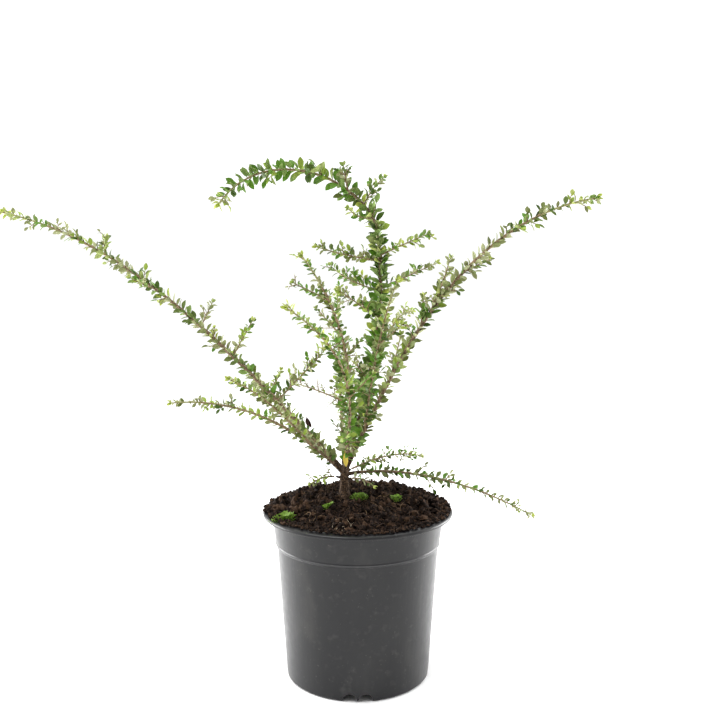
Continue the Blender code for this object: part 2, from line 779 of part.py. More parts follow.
def limb_pieces(limb, paths, samples):
    """A limb's pieces in order, each a gap beyond what it grows from."""
    path = paths[limb.name]
    if limb.parent == "trunk":
        start = arm_length(limb) + GAP
    elif limb.at == 1.0:
        start = first_past_tip(limb, path, paths[limb.parent])
    else:
        start = first_clear(limb, path, samples)
    ends = [*limb.cuts, limb.length]
    starts = [start] + [cut + GAP for cut in limb.cuts]
    bough_names = ("bough",) if limb.bough else ()
    names = bough_names + LEAF_PIECES[len(ends) - len(bough_names)]
    return [
        Piece(f"{limb.name}_{name}", limb, path, start, end, name == "bough")
        for name, start, end in zip(names, starts, ends)
    ]


def wood_samples(node, piece):
    points, radii = rings_of(piece, SAMPLE_SPACING)
    return [Sample(node, point, STEM_WIDER * radius) for point, radius in zip(points, radii)]


def laid_out(paths):
    """All pieces, and samples of all the wood."""
    samples = [
        Sample("trunk", point, TRUNK_FOOT_RADIUS) for point in paths["trunk"]
    ]
    for arm in trunk_arms(paths):
        samples += wood_samples("trunk", arm)
    pieces = []
    for limb in LIMBS:
        for piece in limb_pieces(limb, paths, samples):
            pieces.append(piece)
            samples += wood_samples(piece.node, piece)
    return pieces, samples


def grow_mass(piece, samples, seed, spacing, parts, heap):
    """The pieces of one mass, in the collection heap but for its stem, which is returned."""
    limb = piece.limb
    stem = piece_tube(piece, TWIG_SIDES, STEM_RING_SPACING, parts)
    mass = Mass(piece.node, samples, heap, random.Random(seed))
    for shoot in SHOOTS:
        if shoot.parent == limb.name and piece.start <= shoot.at * limb.length < piece.end:
            root, _ = place_along(piece.path, shoot.at)
            way = arc_points(
                root, shoot.heading, shoot.swing, shoot.rise, shoot.bend, 1.0, shoot.length
            )
            bends = [place_along(way, share)[0] for share in SHOOT_BENDS]
            mass.twig(bends, SHOOT_RADIUS, SHOOT_LEAF * limb.leaf, SHOOT_LEAF * spacing, shoot.leafy)
    for number in range(round((piece.end - piece.start) / SPUR_SPACING)):
        distance = piece.start + SPUR_SPACING * (number + mass.chance.uniform(0.3, 0.8))
        mass.spur(*place_along(piece.path, min(distance, piece.end) / limb.length), limb)
    mass.dress(rings_of(piece, PATH_STEP)[0][1:-1], limb.leaf, spacing)
    return stem


def make_mass(piece, number, samples, parts, heap):
    """Grows and joins a mass. Where it doesn't join to one closed solid, it is grown with fewer leaves."""
    before = len(samples)
    for attempt in range(MOST_ATTEMPTS):
        spacing = LEAF_SPACING * piece.limb.leaf * (1.0 + 0.08 * attempt)
        stem = grow_mass(piece, samples, number + 100 * attempt, spacing, parts, heap)
        if joined(piece.node, stem, heap, parts, GREEN):
            return
        del samples[before:]


def make_plant(parts, cutters):
    heap = new_collection("to_join")
    paths = limb_paths()
    pieces, samples = laid_out(paths)
    make_trunk(paths, parts, heap, cutters)
    for number, piece in enumerate(pieces):
        if piece.is_bough:
            bough = piece_tube(piece, BOUGH_SIDES, BOUGH_RING_SPACING, parts)
            bough.data.materials.append(surface_of(YOUNG_BARK))
        else:
            make_mass(piece, number, samples, parts, heap)
    bpy.data.collections.remove(heap)


def main():
    clear_scene()
    parts = new_collection("tibetan_cotoneaster")
    drains = new_collection("drain_cutters")
    cutters = new_collection("cutters")
    make_pot(parts, drains)
    make_compost(parts)
    make_plant(parts, cutters)


main()
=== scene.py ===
# %% [markdown]
# # Dressing a potted Tibetan cotoneaster
# The plant is a young shrub in a dark plastic nursery pot. Its plain solids are ready, and this lesson
# gives each of them its real look: ribbed bark, about four thousand small leaves, damp peat, grey plastic.
# Everything is in metres, +Z is up, and the origin is the middle of the pot's flat underside.
# We start by loading the solids as a fixed frame, and note how large they are.

# %% Load the frame
import json
import math
import random
from collections import namedtuple

import bmesh
import bpy
import numpy as np
from mathutils import Matrix, Vector, noise

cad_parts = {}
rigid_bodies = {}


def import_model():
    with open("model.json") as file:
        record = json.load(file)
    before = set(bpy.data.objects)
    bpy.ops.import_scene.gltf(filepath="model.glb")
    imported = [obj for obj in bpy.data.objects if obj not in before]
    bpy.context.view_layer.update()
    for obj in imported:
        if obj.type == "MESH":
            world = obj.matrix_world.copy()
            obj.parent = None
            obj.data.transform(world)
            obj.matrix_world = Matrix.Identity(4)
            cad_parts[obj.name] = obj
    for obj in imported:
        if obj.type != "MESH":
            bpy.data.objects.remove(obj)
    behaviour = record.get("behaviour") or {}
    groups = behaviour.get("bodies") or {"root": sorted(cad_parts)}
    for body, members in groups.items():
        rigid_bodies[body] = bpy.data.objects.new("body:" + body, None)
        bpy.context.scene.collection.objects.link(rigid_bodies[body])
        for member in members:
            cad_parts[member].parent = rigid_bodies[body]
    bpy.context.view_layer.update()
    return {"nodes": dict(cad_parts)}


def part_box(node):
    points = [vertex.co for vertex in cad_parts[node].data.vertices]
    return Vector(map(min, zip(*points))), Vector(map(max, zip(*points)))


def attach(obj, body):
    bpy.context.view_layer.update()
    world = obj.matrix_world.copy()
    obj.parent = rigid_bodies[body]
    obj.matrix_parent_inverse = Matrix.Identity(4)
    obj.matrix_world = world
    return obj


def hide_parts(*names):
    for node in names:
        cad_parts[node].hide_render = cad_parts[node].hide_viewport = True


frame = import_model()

chance = random.Random(11)
_, pot_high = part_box("pot")
POT_HEIGHT = pot_high[2]
RIM_RADIUS = pot_high[0]
print(f"pot {2000 * RIM_RADIUS:.0f} mm wide and {1000 * POT_HEIGHT:.0f} mm tall")

# %% [markdown]
# ## Camera
# The photograph looks slightly down at the pot. Its rim and foot are two ellipses of known size, and they
# give the camera's distance, height and tilt. A 50 mm lens on a 36 mm sensor has the same field of view.

# %% Camera
CAMERA_PLACE = (0.002, -0.8736, 0.4064)
CAMERA_DOWN = 7.756
camera_data = bpy.data.cameras.new("photo_view")
camera_data.lens = 50
camera_data.sensor_width = 36
camera = bpy.data.objects.new("photo_view", camera_data)
camera.location = CAMERA_PLACE
camera.rotation_euler = (math.radians(90 - CAMERA_DOWN), 0, 0)
bpy.context.scene.collection.objects.link(camera)
bpy.context.scene.camera = camera
bpy.context.scene.view_settings.view_transform = "Standard"
print("camera at", CAMERA_PLACE)

# %% [markdown]
# ## White studio
# A plant seller's photograph is lit from all round, so the paper is nearly burnt out and the shadows are
# faint. A white world does most of that. One wide soft lamp above gives the leaves a lit side, and two more
# a little behind draw the bright edges that the plastic has at its left and right.

# %% World
world = bpy.data.worlds.new("white_studio")
world.use_nodes = True
bpy.context.scene.world = world
DARK_SIDE = 0.22
BRIGHT_SIDE = 1.30
FADE_FROM = -1.0
FADE_TO = -0.1


def light_the_world(tree):
    """White all round for the eye. As light, the side that the photographer stands on is darker."""
    nodes, links = tree.nodes, tree.links
    ways = nodes.new("ShaderNodeTexCoord")
    split = nodes.new("ShaderNodeSeparateXYZ")
    fade = nodes.new("ShaderNodeMapRange")
    fade.inputs["From Min"].default_value = FADE_FROM
    fade.inputs["From Max"].default_value = FADE_TO
    fade.inputs["To Min"].default_value = DARK_SIDE
    fade.inputs["To Max"].default_value = BRIGHT_SIDE
    rays = nodes.new("ShaderNodeLightPath")
    seen = nodes.new("ShaderNodeMath")
    seen.operation = "MAXIMUM"
    links.new(ways.outputs["Generated"], split.inputs["Vector"])
    links.new(split.outputs["Y"], fade.inputs["Value"])
    links.new(fade.outputs["Result"], seen.inputs[0])
    links.new(rays.outputs["Is Camera Ray"], seen.inputs[1])
    links.new(seen.outputs["Value"], nodes["Background"].inputs["Strength"])
    nodes["Background"].inputs["Color"].default_value = (1, 1, 1, 1)


light_the_world(world.node_tree)
print("world:", BRIGHT_SIDE, "behind the plant and", DARK_SIDE, "in front of it")

# %% Lamps
LAMP_AIM = (0, 0, 0.25)
# Each lamp has a name, a place and the length of its side in metres, and a power in watts.
LAMPS = (
    ("top_lamp", (-0.5, -0.3, 1.9), 1.4, 30),
    ("left_lamp", (-1.0, 0.40, 0.35), 0.8, 22),
    ("right_lamp", (1.0, 0.50, 0.35), 0.7, 18),
)


def soft_lamp(name, place, size, power):
    """A square area lamp that faces the plant. The size is the length of its side."""
    data = bpy.data.lights.new(name, "AREA")
    data.size = size
    data.energy = power
    lamp = bpy.data.objects.new(name, data)
    lamp.location = place
    aim = Vector(LAMP_AIM) - Vector(place)
    lamp.rotation_euler = aim.to_track_quat("-Z", "Y").to_euler()
    bpy.context.scene.collection.objects.link(lamp)


for lamp in LAMPS:
    soft_lamp(*lamp)
print(len(LAMPS), "soft lamps: one above and two at the sides")

# %% [markdown]
# ## Materials
# Each finish is a Principled shader with a few nodes. A colour that is the same all over stays on the
# shader's own socket. Noise adds what the eye reads as matter: specks, wear and a fine uneven surface.

# %% A finish and its noise
def new_finish(name, colour, roughness, specular=0.5):
    """A material with its colour and gloss set. The answer is the material and its shader."""
    material = bpy.data.materials.new(name)
    material.use_nodes = True
    shader = material.node_tree.nodes["Principled BSDF"]
    shader.inputs["Base Color"].default_value = (*colour, 1)
    shader.inputs["Roughness"].default_value = roughness
    shader.inputs["Specular IOR Level"].default_value = specular
    return material, shader


def add_noise(material, scale, detail=4.0, stretch=(1, 1, 1)):
    """A noise in the object's own space. The scale is in spots for each metre."""
    nodes = material.node_tree.nodes
    links = material.node_tree.links
    place = nodes.new("ShaderNodeTexCoord")
    mapping = nodes.new("ShaderNodeMapping")
    mapping.inputs["Scale"].default_value = stretch
    spots = nodes.new("ShaderNodeTexNoise")
    spots.inputs["Scale"].default_value = scale
    spots.inputs["Detail"].default_value = detail
    links.new(place.outputs["Object"], mapping.inputs["Vector"])
    links.new(mapping.outputs["Vector"], spots.inputs["Vector"])
    return spots.outputs["Fac"]


# %% Colours, ranges and relief
NOISE_LOW = 0.3
NOISE_HIGH = 0.7


def ramp(material, value, stops):
    """Turns a value into a colour. The stops are pairs of a position and a colour."""
    node = material.node_tree.nodes.new("ShaderNodeValToRGB")
    elements = node.color_ramp.elements
    while len(elements) < len(stops):
        elements.new(0.5)
    for element, (position, colour) in zip(elements, stops):
        element.position = position
        element.color = (*colour, 1)
    material.node_tree.links.new(value, node.inputs["Fac"])
    return node.outputs["Color"]


def spread(material, value, low, high):
    """Maps a noise, which mostly stays between its own low and high, to the range from low to high."""
    node = material.node_tree.nodes.new("ShaderNodeMapRange")
    node.inputs["From Min"].default_value = NOISE_LOW
    node.inputs["From Max"].default_value = NOISE_HIGH
    node.inputs["To Min"].default_value = low
    node.inputs["To Max"].default_value = high
    node.interpolation_type = "SMOOTHSTEP"
    material.node_tree.links.new(value, node.inputs["Value"])
    return node.outputs["Result"]


def add_bump(material, shader, value, height, strength=1.0):
    """A relief from a noise, with its height in metres."""
    node = material.node_tree.nodes.new("ShaderNodeBump")
    node.inputs["Distance"].default_value = height
    node.inputs["Strength"].default_value = strength
    material.node_tree.links.new(value, node.inputs["Height"])
    material.node_tree.links.new(node.outputs["Normal"], shader.inputs["Normal"])


# %% A speckled surface
def speckled(name, colours, scale, roughness, bump, specular=0.3, stretch=(1, 1, 1)):
    """A rough natural surface: two or three colours in spots, with a fine relief."""
    material, shader = new_finish(name, colours[0], roughness, specular)
    spots = add_noise(material, scale, 6.0, stretch)
    step = (NOISE_HIGH - NOISE_LOW) / (len(colours) - 1)
    stops = [(NOISE_LOW + step * number, colour) for number, colour in enumerate(colours)]
    material.node_tree.links.new(ramp(material, spots, stops), shader.inputs["Base Color"])
    add_bump(material, shader, spots, bump)
    return material


# %% [markdown]
# ### Leaf greens
# Leaves differ from spray to spray: old ones are deep green, side shoots are greyer, tips are fresh yellow
# green. A shade belongs to a whole spray, so each is a plain base colour of its own and not a pattern. The
# underside is always paler and more matt, because it is covered with fine hairs.

# %% Leaf materials
VEIN_SCALE = 900
VEIN_HEIGHT = 0.0003
GLOSS_RANGE = 0.1


def leaf_finish(name, colour, roughness, specular):
    """A leaf's surface, uneven at the scale of its veins."""
    material, shader = new_finish(name, colour, roughness, specular)
    veins = add_noise(material, VEIN_SCALE, 3.0)
    add_bump(material, shader, veins, VEIN_HEIGHT, 0.5)
    uneven = spread(material, veins, roughness - GLOSS_RANGE, roughness + GLOSS_RANGE)
    material.node_tree.links.new(uneven, shader.inputs["Roughness"])
    return material


# Each shade has the colour of the upper face and the colour of the underside.
SHADES = {
    "deep": ((0.052, 0.102, 0.010), (0.120, 0.170, 0.045)),
    "mid": ((0.092, 0.205, 0.016), (0.175, 0.260, 0.070)),
    "olive": ((0.120, 0.150, 0.032), (0.210, 0.240, 0.095)),
    "light": ((0.240, 0.330, 0.048), (0.300, 0.360, 0.120)),
    "grey": ((0.240, 0.262, 0.108), (0.350, 0.370, 0.200)),
    "fresh": ((0.360, 0.430, 0.075), (0.390, 0.440, 0.140)),
}
leaf_finishes = {}
for shade, (upper, under) in SHADES.items():
    leaf_finishes[shade] = (
        leaf_finish(f"leaf_{shade}_upper", upper, roughness=0.50, specular=0.22),
        leaf_finish(f"leaf_{shade}_under", under, roughness=0.80, specular=0.15),
    )
print(len(SHADES), "shades of green")

# %% [markdown]
# ## The rule that the plant grows by
# Every limb is one arc. It leaves its parent with a heading and a rise, and both turn along its length. The
# solids grew by the same rule, so twigs and leaves made here lie where the solids lie. Angles are in
# degrees, and headings are counted from +X towards +Y, which is away from the camera.

# %% Limbs and side shoots
TRUNK_FOOT = (-0.012, 0.0)
TRUNK_HEIGHT = 0.028
FORK_OFFSET = 0.0015
PATH_STEP = 0.002

# at is the place along the parent. base and tip are radii. leaf is a leaf's length in millimetres. bare is
# the length of the bough before its foliage starts.
Limb = namedtuple(
    "Limb", "name parent at heading swing rise bend ease length base tip leaf tone bare"
)
LIMBS = (
    Limb("left_long", "trunk", 0.93, 163, 3, 44, -36, 2.3, 0.430, 0.0023, 0.0007, 8.6, "mixed", 0.012),
    Limb("left_low", "trunk", 0.84, -161, 15, 47, -46, 1.2, 0.177, 0.0017, 0.0006, 6.8, "pale", 0.012),
    Limb("rear_left", "trunk", 0.90, 136, -14, 26, -2, 0.8, 0.205, 0.0018, 0.0006, 7.0, "mixed", 0.014),
    Limb("rear", "trunk", 0.96, 95, -3, 47, -4, 1.0, 0.210, 0.0018, 0.0006, 7.0, "mixed", 0.014),
    Limb("centre_tall", "trunk", 1.0, 55, -47, 61, 39, 1.1, 0.225, 0.0023, 0.0015, 10.8, "dark", 0.018),
    Limb("right_long", "trunk", 0.96, -15, -14, 65, -58, 2.4, 0.333, 0.0022, 0.0007, 8.8, "mixed", 0.018),
    Limb("centre_left", "trunk", 0.95, -73, -64, 67, -20, 1.2, 0.229, 0.0019, 0.0006, 7.0, "mixed", 0.018),
    Limb("front", "trunk", 0.86, -84, -64, 45, -13, 2.6, 0.244, 0.0018, 0.0006, 7.4, "green", 0.016),
    Limb("right_low", "trunk", 0.78, 23, -8, 8, -39, 0.6, 0.197, 0.0016, 0.0006, 6.8, "mixed", 0.012),
    Limb("right_thin", "trunk", 0.86, 45, -4, 10, -28, 1.6, 0.100, 0.0010, 0.0006, 5.6, "mixed", 0.012),
    Limb("arch", "centre_tall", 1.0, -10, 62, 116, 109, 0.9, 0.175, 0.0015, 0.0007, 10.8, "open", 0.0),
    Limb("front_right", "right_long", 0.12, -82, 9, 51, -8, 2, 0.185, 0.0012, 0.0006, 7.6, "mixed", 0.008),
    Limb("rear_right", "centre_tall", 0.28, 67, -10, 47, -49, 2.6, 0.137, 0.0012, 0.0006, 7, "mixed", 0.008),
    Limb("front_left", "left_low", 0.22, -126, 6, 41, -21, 2.0, 0.131, 0.0012, 0.0006, 6.8, "pale", 0.008),
    Limb("base_left", "trunk", 0.66, 190, 0, 22, -60, 1.0, 0.030, 0.0010, 0.0006, 5.4, "mixed", 0.008),
    Limb("base_right", "trunk", 0.62, -38, 0, 24, -50, 1.0, 0.032, 0.0010, 0.0006, 5.4, "mixed", 0.008),
)

Shoot = namedtuple("Shoot", "parent at heading swing rise bend length tone")
SHOOTS = (
    Shoot("left_long", 0.20, -26, -10, 44, 0, 0.072, "mixed"),
    Shoot("left_long", 0.335, -18, 0, 59, 0, 0.038, "mixed"),
    Shoot("left_long", 0.43, 28, 0, 62, 0, 0.024, "mixed"),
    Shoot("left_long", 0.56, -150, 0, 20, 10, 0.026, "mixed"),
    Shoot("left_long", 0.70, 100, 0, 40, 0, 0.024, "mixed"),
    Shoot("centre_left", 0.31, -140, -16, 28, -8, 0.054, "thin"),
    Shoot("centre_left", 0.80, 178, 0, 26, 0, 0.030, "mixed"),
    Shoot("centre_tall", 0.36, -128, -6, 51, -13, 0.025, "mixed"),
    Shoot("centre_tall", 0.62, -129, -18, 26, 7, 0.055, "mixed"),
    Shoot("centre_tall", 0.73, 157, -7, 9, 27, 0.056, "green"),
    Shoot("centre_tall", 0.74, 30, -11, 19, 3, 0.061, "mixed"),
    Shoot("centre_tall", 0.85, -161, -3, 7, 10, 0.060, "mixed"),
    Shoot("centre_tall", 0.87, -10, 0, 26, -4, 0.047, "green"),
    Shoot("centre_tall", 0.52, 80, 0, 30, 10, 0.040, "mixed"),
    Shoot("right_long", 0.28, 49, 15, 68, -6, 0.040, "pale"),
    Shoot("right_long", 0.44, 73, 0, 69, 0, 0.027, "mixed"),
    Shoot("right_long", 0.47, -42, -12, 57, 12, 0.056, "pale"),
    Shoot("right_long", 0.62, 20, 0, 20, 10, 0.024, "mixed"),
    Shoot("arch", 0.03, -153, 0, -8, 50, 0.026, "green"),
    Shoot("arch", 0.11, 34, -8, 63, -26, 0.032, "green"),
    Shoot("arch", 0.22, -133, 16, 72, 0, 0.022, "green"),
    Shoot("rear", 0.55, 20, 0, 50, -10, 0.036, "mixed"),
    Shoot("rear", 0.74, 160, 0, 45, 0, 0.032, "mixed"),
    Shoot("front", 0.48, -20, 0, 45, 0, 0.028, "green"),
    Shoot("rear_left", 0.60, 70, 0, 40, 0, 0.034, "mixed"),
    Shoot("front_right", 0.60, -20, 0, 40, 0, 0.026, "mixed"),
)
print(len(LIMBS), "limbs and", len(SHOOTS), "long side shoots")


# %% The arc rule
LIMB_TAPER = 0.8


def direction(heading, rise):
    """The unit vector with this heading and rise."""
    turn = math.radians(heading)
    lift = math.radians(rise)
    level = math.cos(lift)
    return Vector((level * math.cos(turn), level * math.sin(turn), math.sin(lift)))


def arc_points(start, heading, swing, rise, bend, ease, length):
    """Points about PATH_STEP apart. The heading turns by swing and the rise by bend along the way."""
    count = max(4, round(length / PATH_STEP))
    points = [start.copy()]
    for number in range(count):
        share = ((number + 0.5) / count) ** ease
        step = direction(heading + swing * share, rise + bend * share)
        points.append(points[-1] + step * (length / count))
    return points


def place_along(points, share):
    """The point at a share of the way along a list of points, and the direction there."""
    last = len(points) - 1
    spot = min(max(share, 0.0), 1.0) * last
    index = min(int(spot), last - 1)
    step = points[index + 1] - points[index]
    return points[index] + step * (spot - index), step.normalized()


def thickness(limb, share):
    """Radius of a limb at a share of its length."""
    return limb.tip + (limb.base - limb.tip) * max(0.0, 1.0 - share) ** LIMB_TAPER


# %% [markdown]
# ### The ground
# The compost is a low mound with lumps. The trunk stands on a level patch of it. The same formula as the
# solid's gives the height anywhere, so that what lies on the compost rests on it.

# %% Compost height
COLLAR_TOP_RADIUS = 0.0768
EDGE_BELOW_RIM = 0.004
MOUND_RISE = 0.0135
MOUND_CENTRE = (0.0, 0.008)
LEVEL_PATCH_RADIUS = 0.014
MOUND_SHAPE = 0.8
LUMP_HEIGHT = 0.0042
LUMP_SIZE = 0.011
LUMP_FADE = 0.010
FINE_LUMP_SHARE = 0.5
FINE_LUMP_SCALE = 2.2


def mound_height(x, y):
    """The height of the smooth mound."""
    edge = POT_HEIGHT - EDGE_BELOW_RIM
    away = math.hypot(x - MOUND_CENTRE[0], y - MOUND_CENTRE[1]) / COLLAR_TOP_RADIUS
    return edge + MOUND_RISE * max(0.0, 1.0 - away * away) ** MOUND_SHAPE


GROUND = mound_height(*TRUNK_FOOT)


def compost_height(x, y):
    """The mound with its lumps, made level round the trunk."""
    spot = Vector((x, y, 0.0))
    fine = FINE_LUMP_SHARE * noise.noise(FINE_LUMP_SCALE * spot / LUMP_SIZE)
    lump = noise.noise(spot / LUMP_SIZE) + fine
    rim_fade = min(1.0, (COLLAR_TOP_RADIUS - math.hypot(x, y)) / LUMP_FADE)
    height = mound_height(x, y) + LUMP_HEIGHT * lump * max(0.0, rim_fade)
    away = math.hypot(x - TRUNK_FOOT[0], y - TRUNK_FOOT[1])
    share = min(1.0, max(0.0, (away - LEVEL_PATCH_RADIUS) / LUMP_FADE))
    return GROUND + (height - GROUND) * share


trunk_start = Vector((*TRUNK_FOOT, GROUND))
paths = {"trunk": arc_points(trunk_start, 95, 0, 89, 2, 1.0, TRUNK_HEIGHT)}
for limb in LIMBS:
    start, _ = place_along(paths[limb.parent], limb.at)
    if limb.parent == "trunk":
        start += FORK_OFFSET * direction(limb.heading, 0)
    paths[limb.name] = arc_points(
        start, limb.heading, limb.swing, limb.rise, limb.bend, limb.ease, limb.length
    )
print(f"the ground is at {1000 * GROUND:.1f} mm")

# %% [markdown]
# ## Joined pieces
# Thousands of leaves and twigs are too many objects. A heap gathers the points and faces of many small
# shapes and turns them into one mesh, with a mark on each face that says which material it takes.

# %% A heap of small shapes
class Heap:
    """The points and faces of many small shapes, on their way to one mesh."""

    def __init__(self):
        self.points = []
        self.faces = []
        self.marks = []
        self.count = 0

    def add(self, points, faces, marks):
        """Adds one shape. The marks are one number for the shape or one for each face."""
        first = self.count
        self.points.append(np.asarray(points))
        self.faces.extend(tuple(first + corner for corner in face) for face in faces)
        self.marks.extend([marks] * len(faces) if isinstance(marks, int) else marks)
        self.count += len(points)


def make_piece(name, heap, materials, sharp=60):
    """The heap as one object that rides on the plant."""
    mesh = bpy.data.meshes.new(name)
    mesh.from_pydata(np.concatenate(heap.points).tolist(), [], heap.faces)
    for material in materials:
        mesh.materials.append(material)
    mesh.polygons.foreach_set("material_index", heap.marks)
    mesh.shade_smooth()
    mesh.set_sharp_from_angle(angle=math.radians(sharp))
    obj = bpy.data.objects.new(name, mesh)
    bpy.context.scene.collection.objects.link(obj)
    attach(obj, "root")
    print(f"{name}: {sum(len(face) - 2 for face in heap.faces)} triangles")
    return obj


# %% Tubes
FIRST_SIDE = (0.31, 0.17, 0.93)
KNOB_SCALE = 700


def tube(heap, points, radii, sides, marks=0, relief=0.0):
    """A closed tube along points, with a knobbly relief as a share of its radius."""
    spots = np.array([list(point) for point in points])
    steps = np.gradient(spots, axis=0)
    steps /= np.linalg.norm(steps, axis=1)[:, None]
    aside = np.cross(steps[0], FIRST_SIDE)
    rings = []
    for spot, step, radius in zip(spots, steps, radii):
        aside = aside - step * aside.dot(step)
        aside /= np.linalg.norm(aside)
        across = np.cross(step, aside)
        turn = np.arange(sides) * math.tau / sides
        ring = np.outer(np.cos(turn), aside) + np.outer(np.sin(turn), across)
        if relief:
            bumps = [noise.noise(Vector(spot + radius * way) * KNOB_SCALE) for way in ring]
            ring = ring * (1 + relief * np.array(bumps))[:, None]
        rings.append(spot + radius * ring)
    faces = []
    for row in range(len(rings) - 1):
        for side in range(sides):
            other = (side + 1) % sides
            low, high = row * sides, (row + 1) * sides
            faces.append((low + side, low + other, high + other, high + side))
    faces.append(tuple(range(sides))[::-1])
    faces.append(tuple((len(rings) - 1) * sides + side for side in range(sides)))
    heap.add(np.concatenate(rings), faces, marks)


# %% [markdown]
# ## One leaf
# A leaf is a thin closed body: seven rows of four points run from the stalk to the tip. The two sides lift
# into a shallow fold along the midrib, and the tip bends down. It is widest a little past its middle.

# %% The leaf's template
# Each row is a place along the leaf and half the leaf's width there.
STALK = 0.16
LEAF_ROWS = (
    (-STALK, 0.028), (0.0, 0.045), (0.16, 0.185), (0.38, 0.268), (0.60, 0.285), (0.82, 0.185), (1.0, 0.022),
)
ROW_POINTS = 4
LEAF_FOLD = 0.32
LEAF_DROOP = 0.14
LEAF_BODY = 0.035
# Each kind has a share of the fold and a share of the droop, so that no two neighbours look the same.
LEAF_KINDS = ((1.0, 1.0), (0.5, 2.0), (1.6, 0.5), (1.0, -0.6))


def leaf_template(fold, droop):
    """Points for a leaf one unit long: x along it, y across it and z out of its upper face."""
    points = []
    for along, half in LEAF_ROWS:
        middle = -droop * max(0.0, along) ** 2
        edge = middle + fold * half
        points += [(along, half, edge), (along, 0, middle)]
        points += [(along, -half, edge), (along, 0, middle - LEAF_BODY)]
    return np.array(points)


leaf_sides = []
leaf_marks = []
for row in range(len(LEAF_ROWS) - 1):
    for corner in range(ROW_POINTS):
        near = ROW_POINTS * row + corner
        other = ROW_POINTS * row + (corner + 1) % ROW_POINTS
        leaf_sides.append((near, near + ROW_POINTS, other + ROW_POINTS, other))
        leaf_marks.append(0 if corner < 2 else 1)
last_point = ROW_POINTS * len(LEAF_ROWS) - 1
leaf_sides.append((0, 1, 2, 3))
leaf_sides.append((last_point, last_point - 1, last_point - 2, last_point - 3))
leaf_marks += [1, 1]
LEAF_FORMS = [leaf_template(fold * LEAF_FOLD, droop * LEAF_DROOP) for fold, droop in LEAF_KINDS]
print(len(leaf_sides), "faces on a leaf")

# %% [markdown]
# ## Growing the leaves
# Leaves stand in a spiral, each two fifths of a turn on from the last, which is how this shrub sets them.
# They turn their faces to the light, but loosely, so the spiral only shows in where they sit. Short spurs
# carry a few leaves each. Three to six leaves on end share one shade, as a spray of one age does.

# %% Shades by spray
SPRAY_LEAVES = 6
TIP_SHARE = 0.93
# The weights of the shades in each tone that a limb can have.
TONES = {
    "dark": {"deep": 2.2, "mid": 5, "olive": 0.6, "light": 2.0, "grey": 0.4, "fresh": 0.3},
    "mixed": {"deep": 2.4, "mid": 1.5, "olive": 2.4, "light": 1.4, "grey": 2.6, "fresh": 0.1},
    "pale": {"deep": 1.2, "mid": 0.8, "olive": 2.4, "light": 1.8, "grey": 4.2, "fresh": 0.2},
    "tip": {"deep": 0, "mid": 1.0, "olive": 0.6, "light": 3, "grey": 1.4, "fresh": 2},
}
TONES["thin"] = TONES["mixed"]
TONES["green"] = TONES["dark"]
TONES["open"] = TONES["dark"]


class Spray:
    """Deals out the shades. A few leaves on end get the same one."""

    def __init__(self, tone):
        self.tone = tone
        self.left = 0
        self.shade = "mid"

    def next_shade(self, share):
        if self.left <= 0:
            weights = TONES["tip" if share > TIP_SHARE else self.tone]
            self.shade = chance.choices(list(weights), list(weights.values()))[0]
            self.left = chance.randint(SPRAY_LEAVES // 2, SPRAY_LEAVES)
        self.left -= 1
        return self.shade


# %% One leaf in its place
POT_CLEARANCE = 0.002
GROUND_CLEARANCE = 0.0015
FACE_FORWARD = 0.55
FACE_TWIST = 80
NEARLY_UPRIGHT = 0.15
LIFT_TO_LIGHT = 0.16
leaf_heaps = {shade: Heap() for shade in SHADES}
twig_heap = Heap()


def in_the_way(point):
    """True inside or just above the pot and the compost."""
    reach = math.hypot(point.x, point.y)
    ground = compost_height(point.x, point.y)
    return reach < RIM_RADIUS + POT_CLEARANCE and point.z < ground + GROUND_CLEARANCE


def put_leaf(root, along, aim, length, shade):
    """One leaf that sets off along aim from a twig that runs along."""
    aim = aim.normalized()
    if in_the_way(root + aim * length):
        return
    up = Vector((0, 0, 1)) + FACE_FORWARD * along
    normal = up - aim * up.dot(aim)
    if normal.length < NEARLY_UPRIGHT:
        normal = along - aim * along.dot(aim)
    twist = math.radians(chance.uniform(-FACE_TWIST, FACE_TWIST))
    normal = Matrix.Rotation(twist, 3, aim) @ normal.normalized()
    across = normal.cross(aim)
    points = chance.choice(LEAF_FORMS) * length
    turned = points @ np.array([list(aim), list(across), list(normal)])
    leaf_heaps[shade].add(turned + np.array(list(root + aim * STALK * length)), leaf_sides, leaf_marks)


def leaf_aim(along, roll, lean):
    """A direction that leans out from a twig, lifted a little towards the light."""
    side = along.orthogonal().normalized()
    out = Matrix.Rotation(math.radians(roll), 3, along) @ side
    lean = math.radians(lean)
    return along * math.cos(lean) + out * math.sin(lean) + Vector((0, 0, LIFT_TO_LIGHT))


# %% Rosettes and spurs
LEAF_TURN = 144
ROSETTE_LEAVES = 4
ROSETTE_LEAN = 32
ROSETTE_LOOSENESS = 20
SPUR_LEAN = 58
SPUR_RADII = (0.00055, 0.00045, 0.00032)
SPUR_LEAF_PLACES = (0.35, 0.60, 0.85)
SPUR_LEAF_LEAN = 55
SPUR_LEAF_SHARE = 0.8
END_LEAF_SHARE = 0.85


def rosette(root, along, length, shade):
    """The cluster of young leaves that ends a shoot."""
    for number in range(ROSETTE_LEAVES):
        roll = 360 / ROSETTE_LEAVES * number + chance.uniform(-ROSETTE_LOOSENESS, ROSETTE_LOOSENESS)
        put_leaf(root, along, leaf_aim(along, roll, ROSETTE_LEAN), length, shade)
    put_leaf(root, along, along, SPUR_LEAF_SHARE * length, shade)


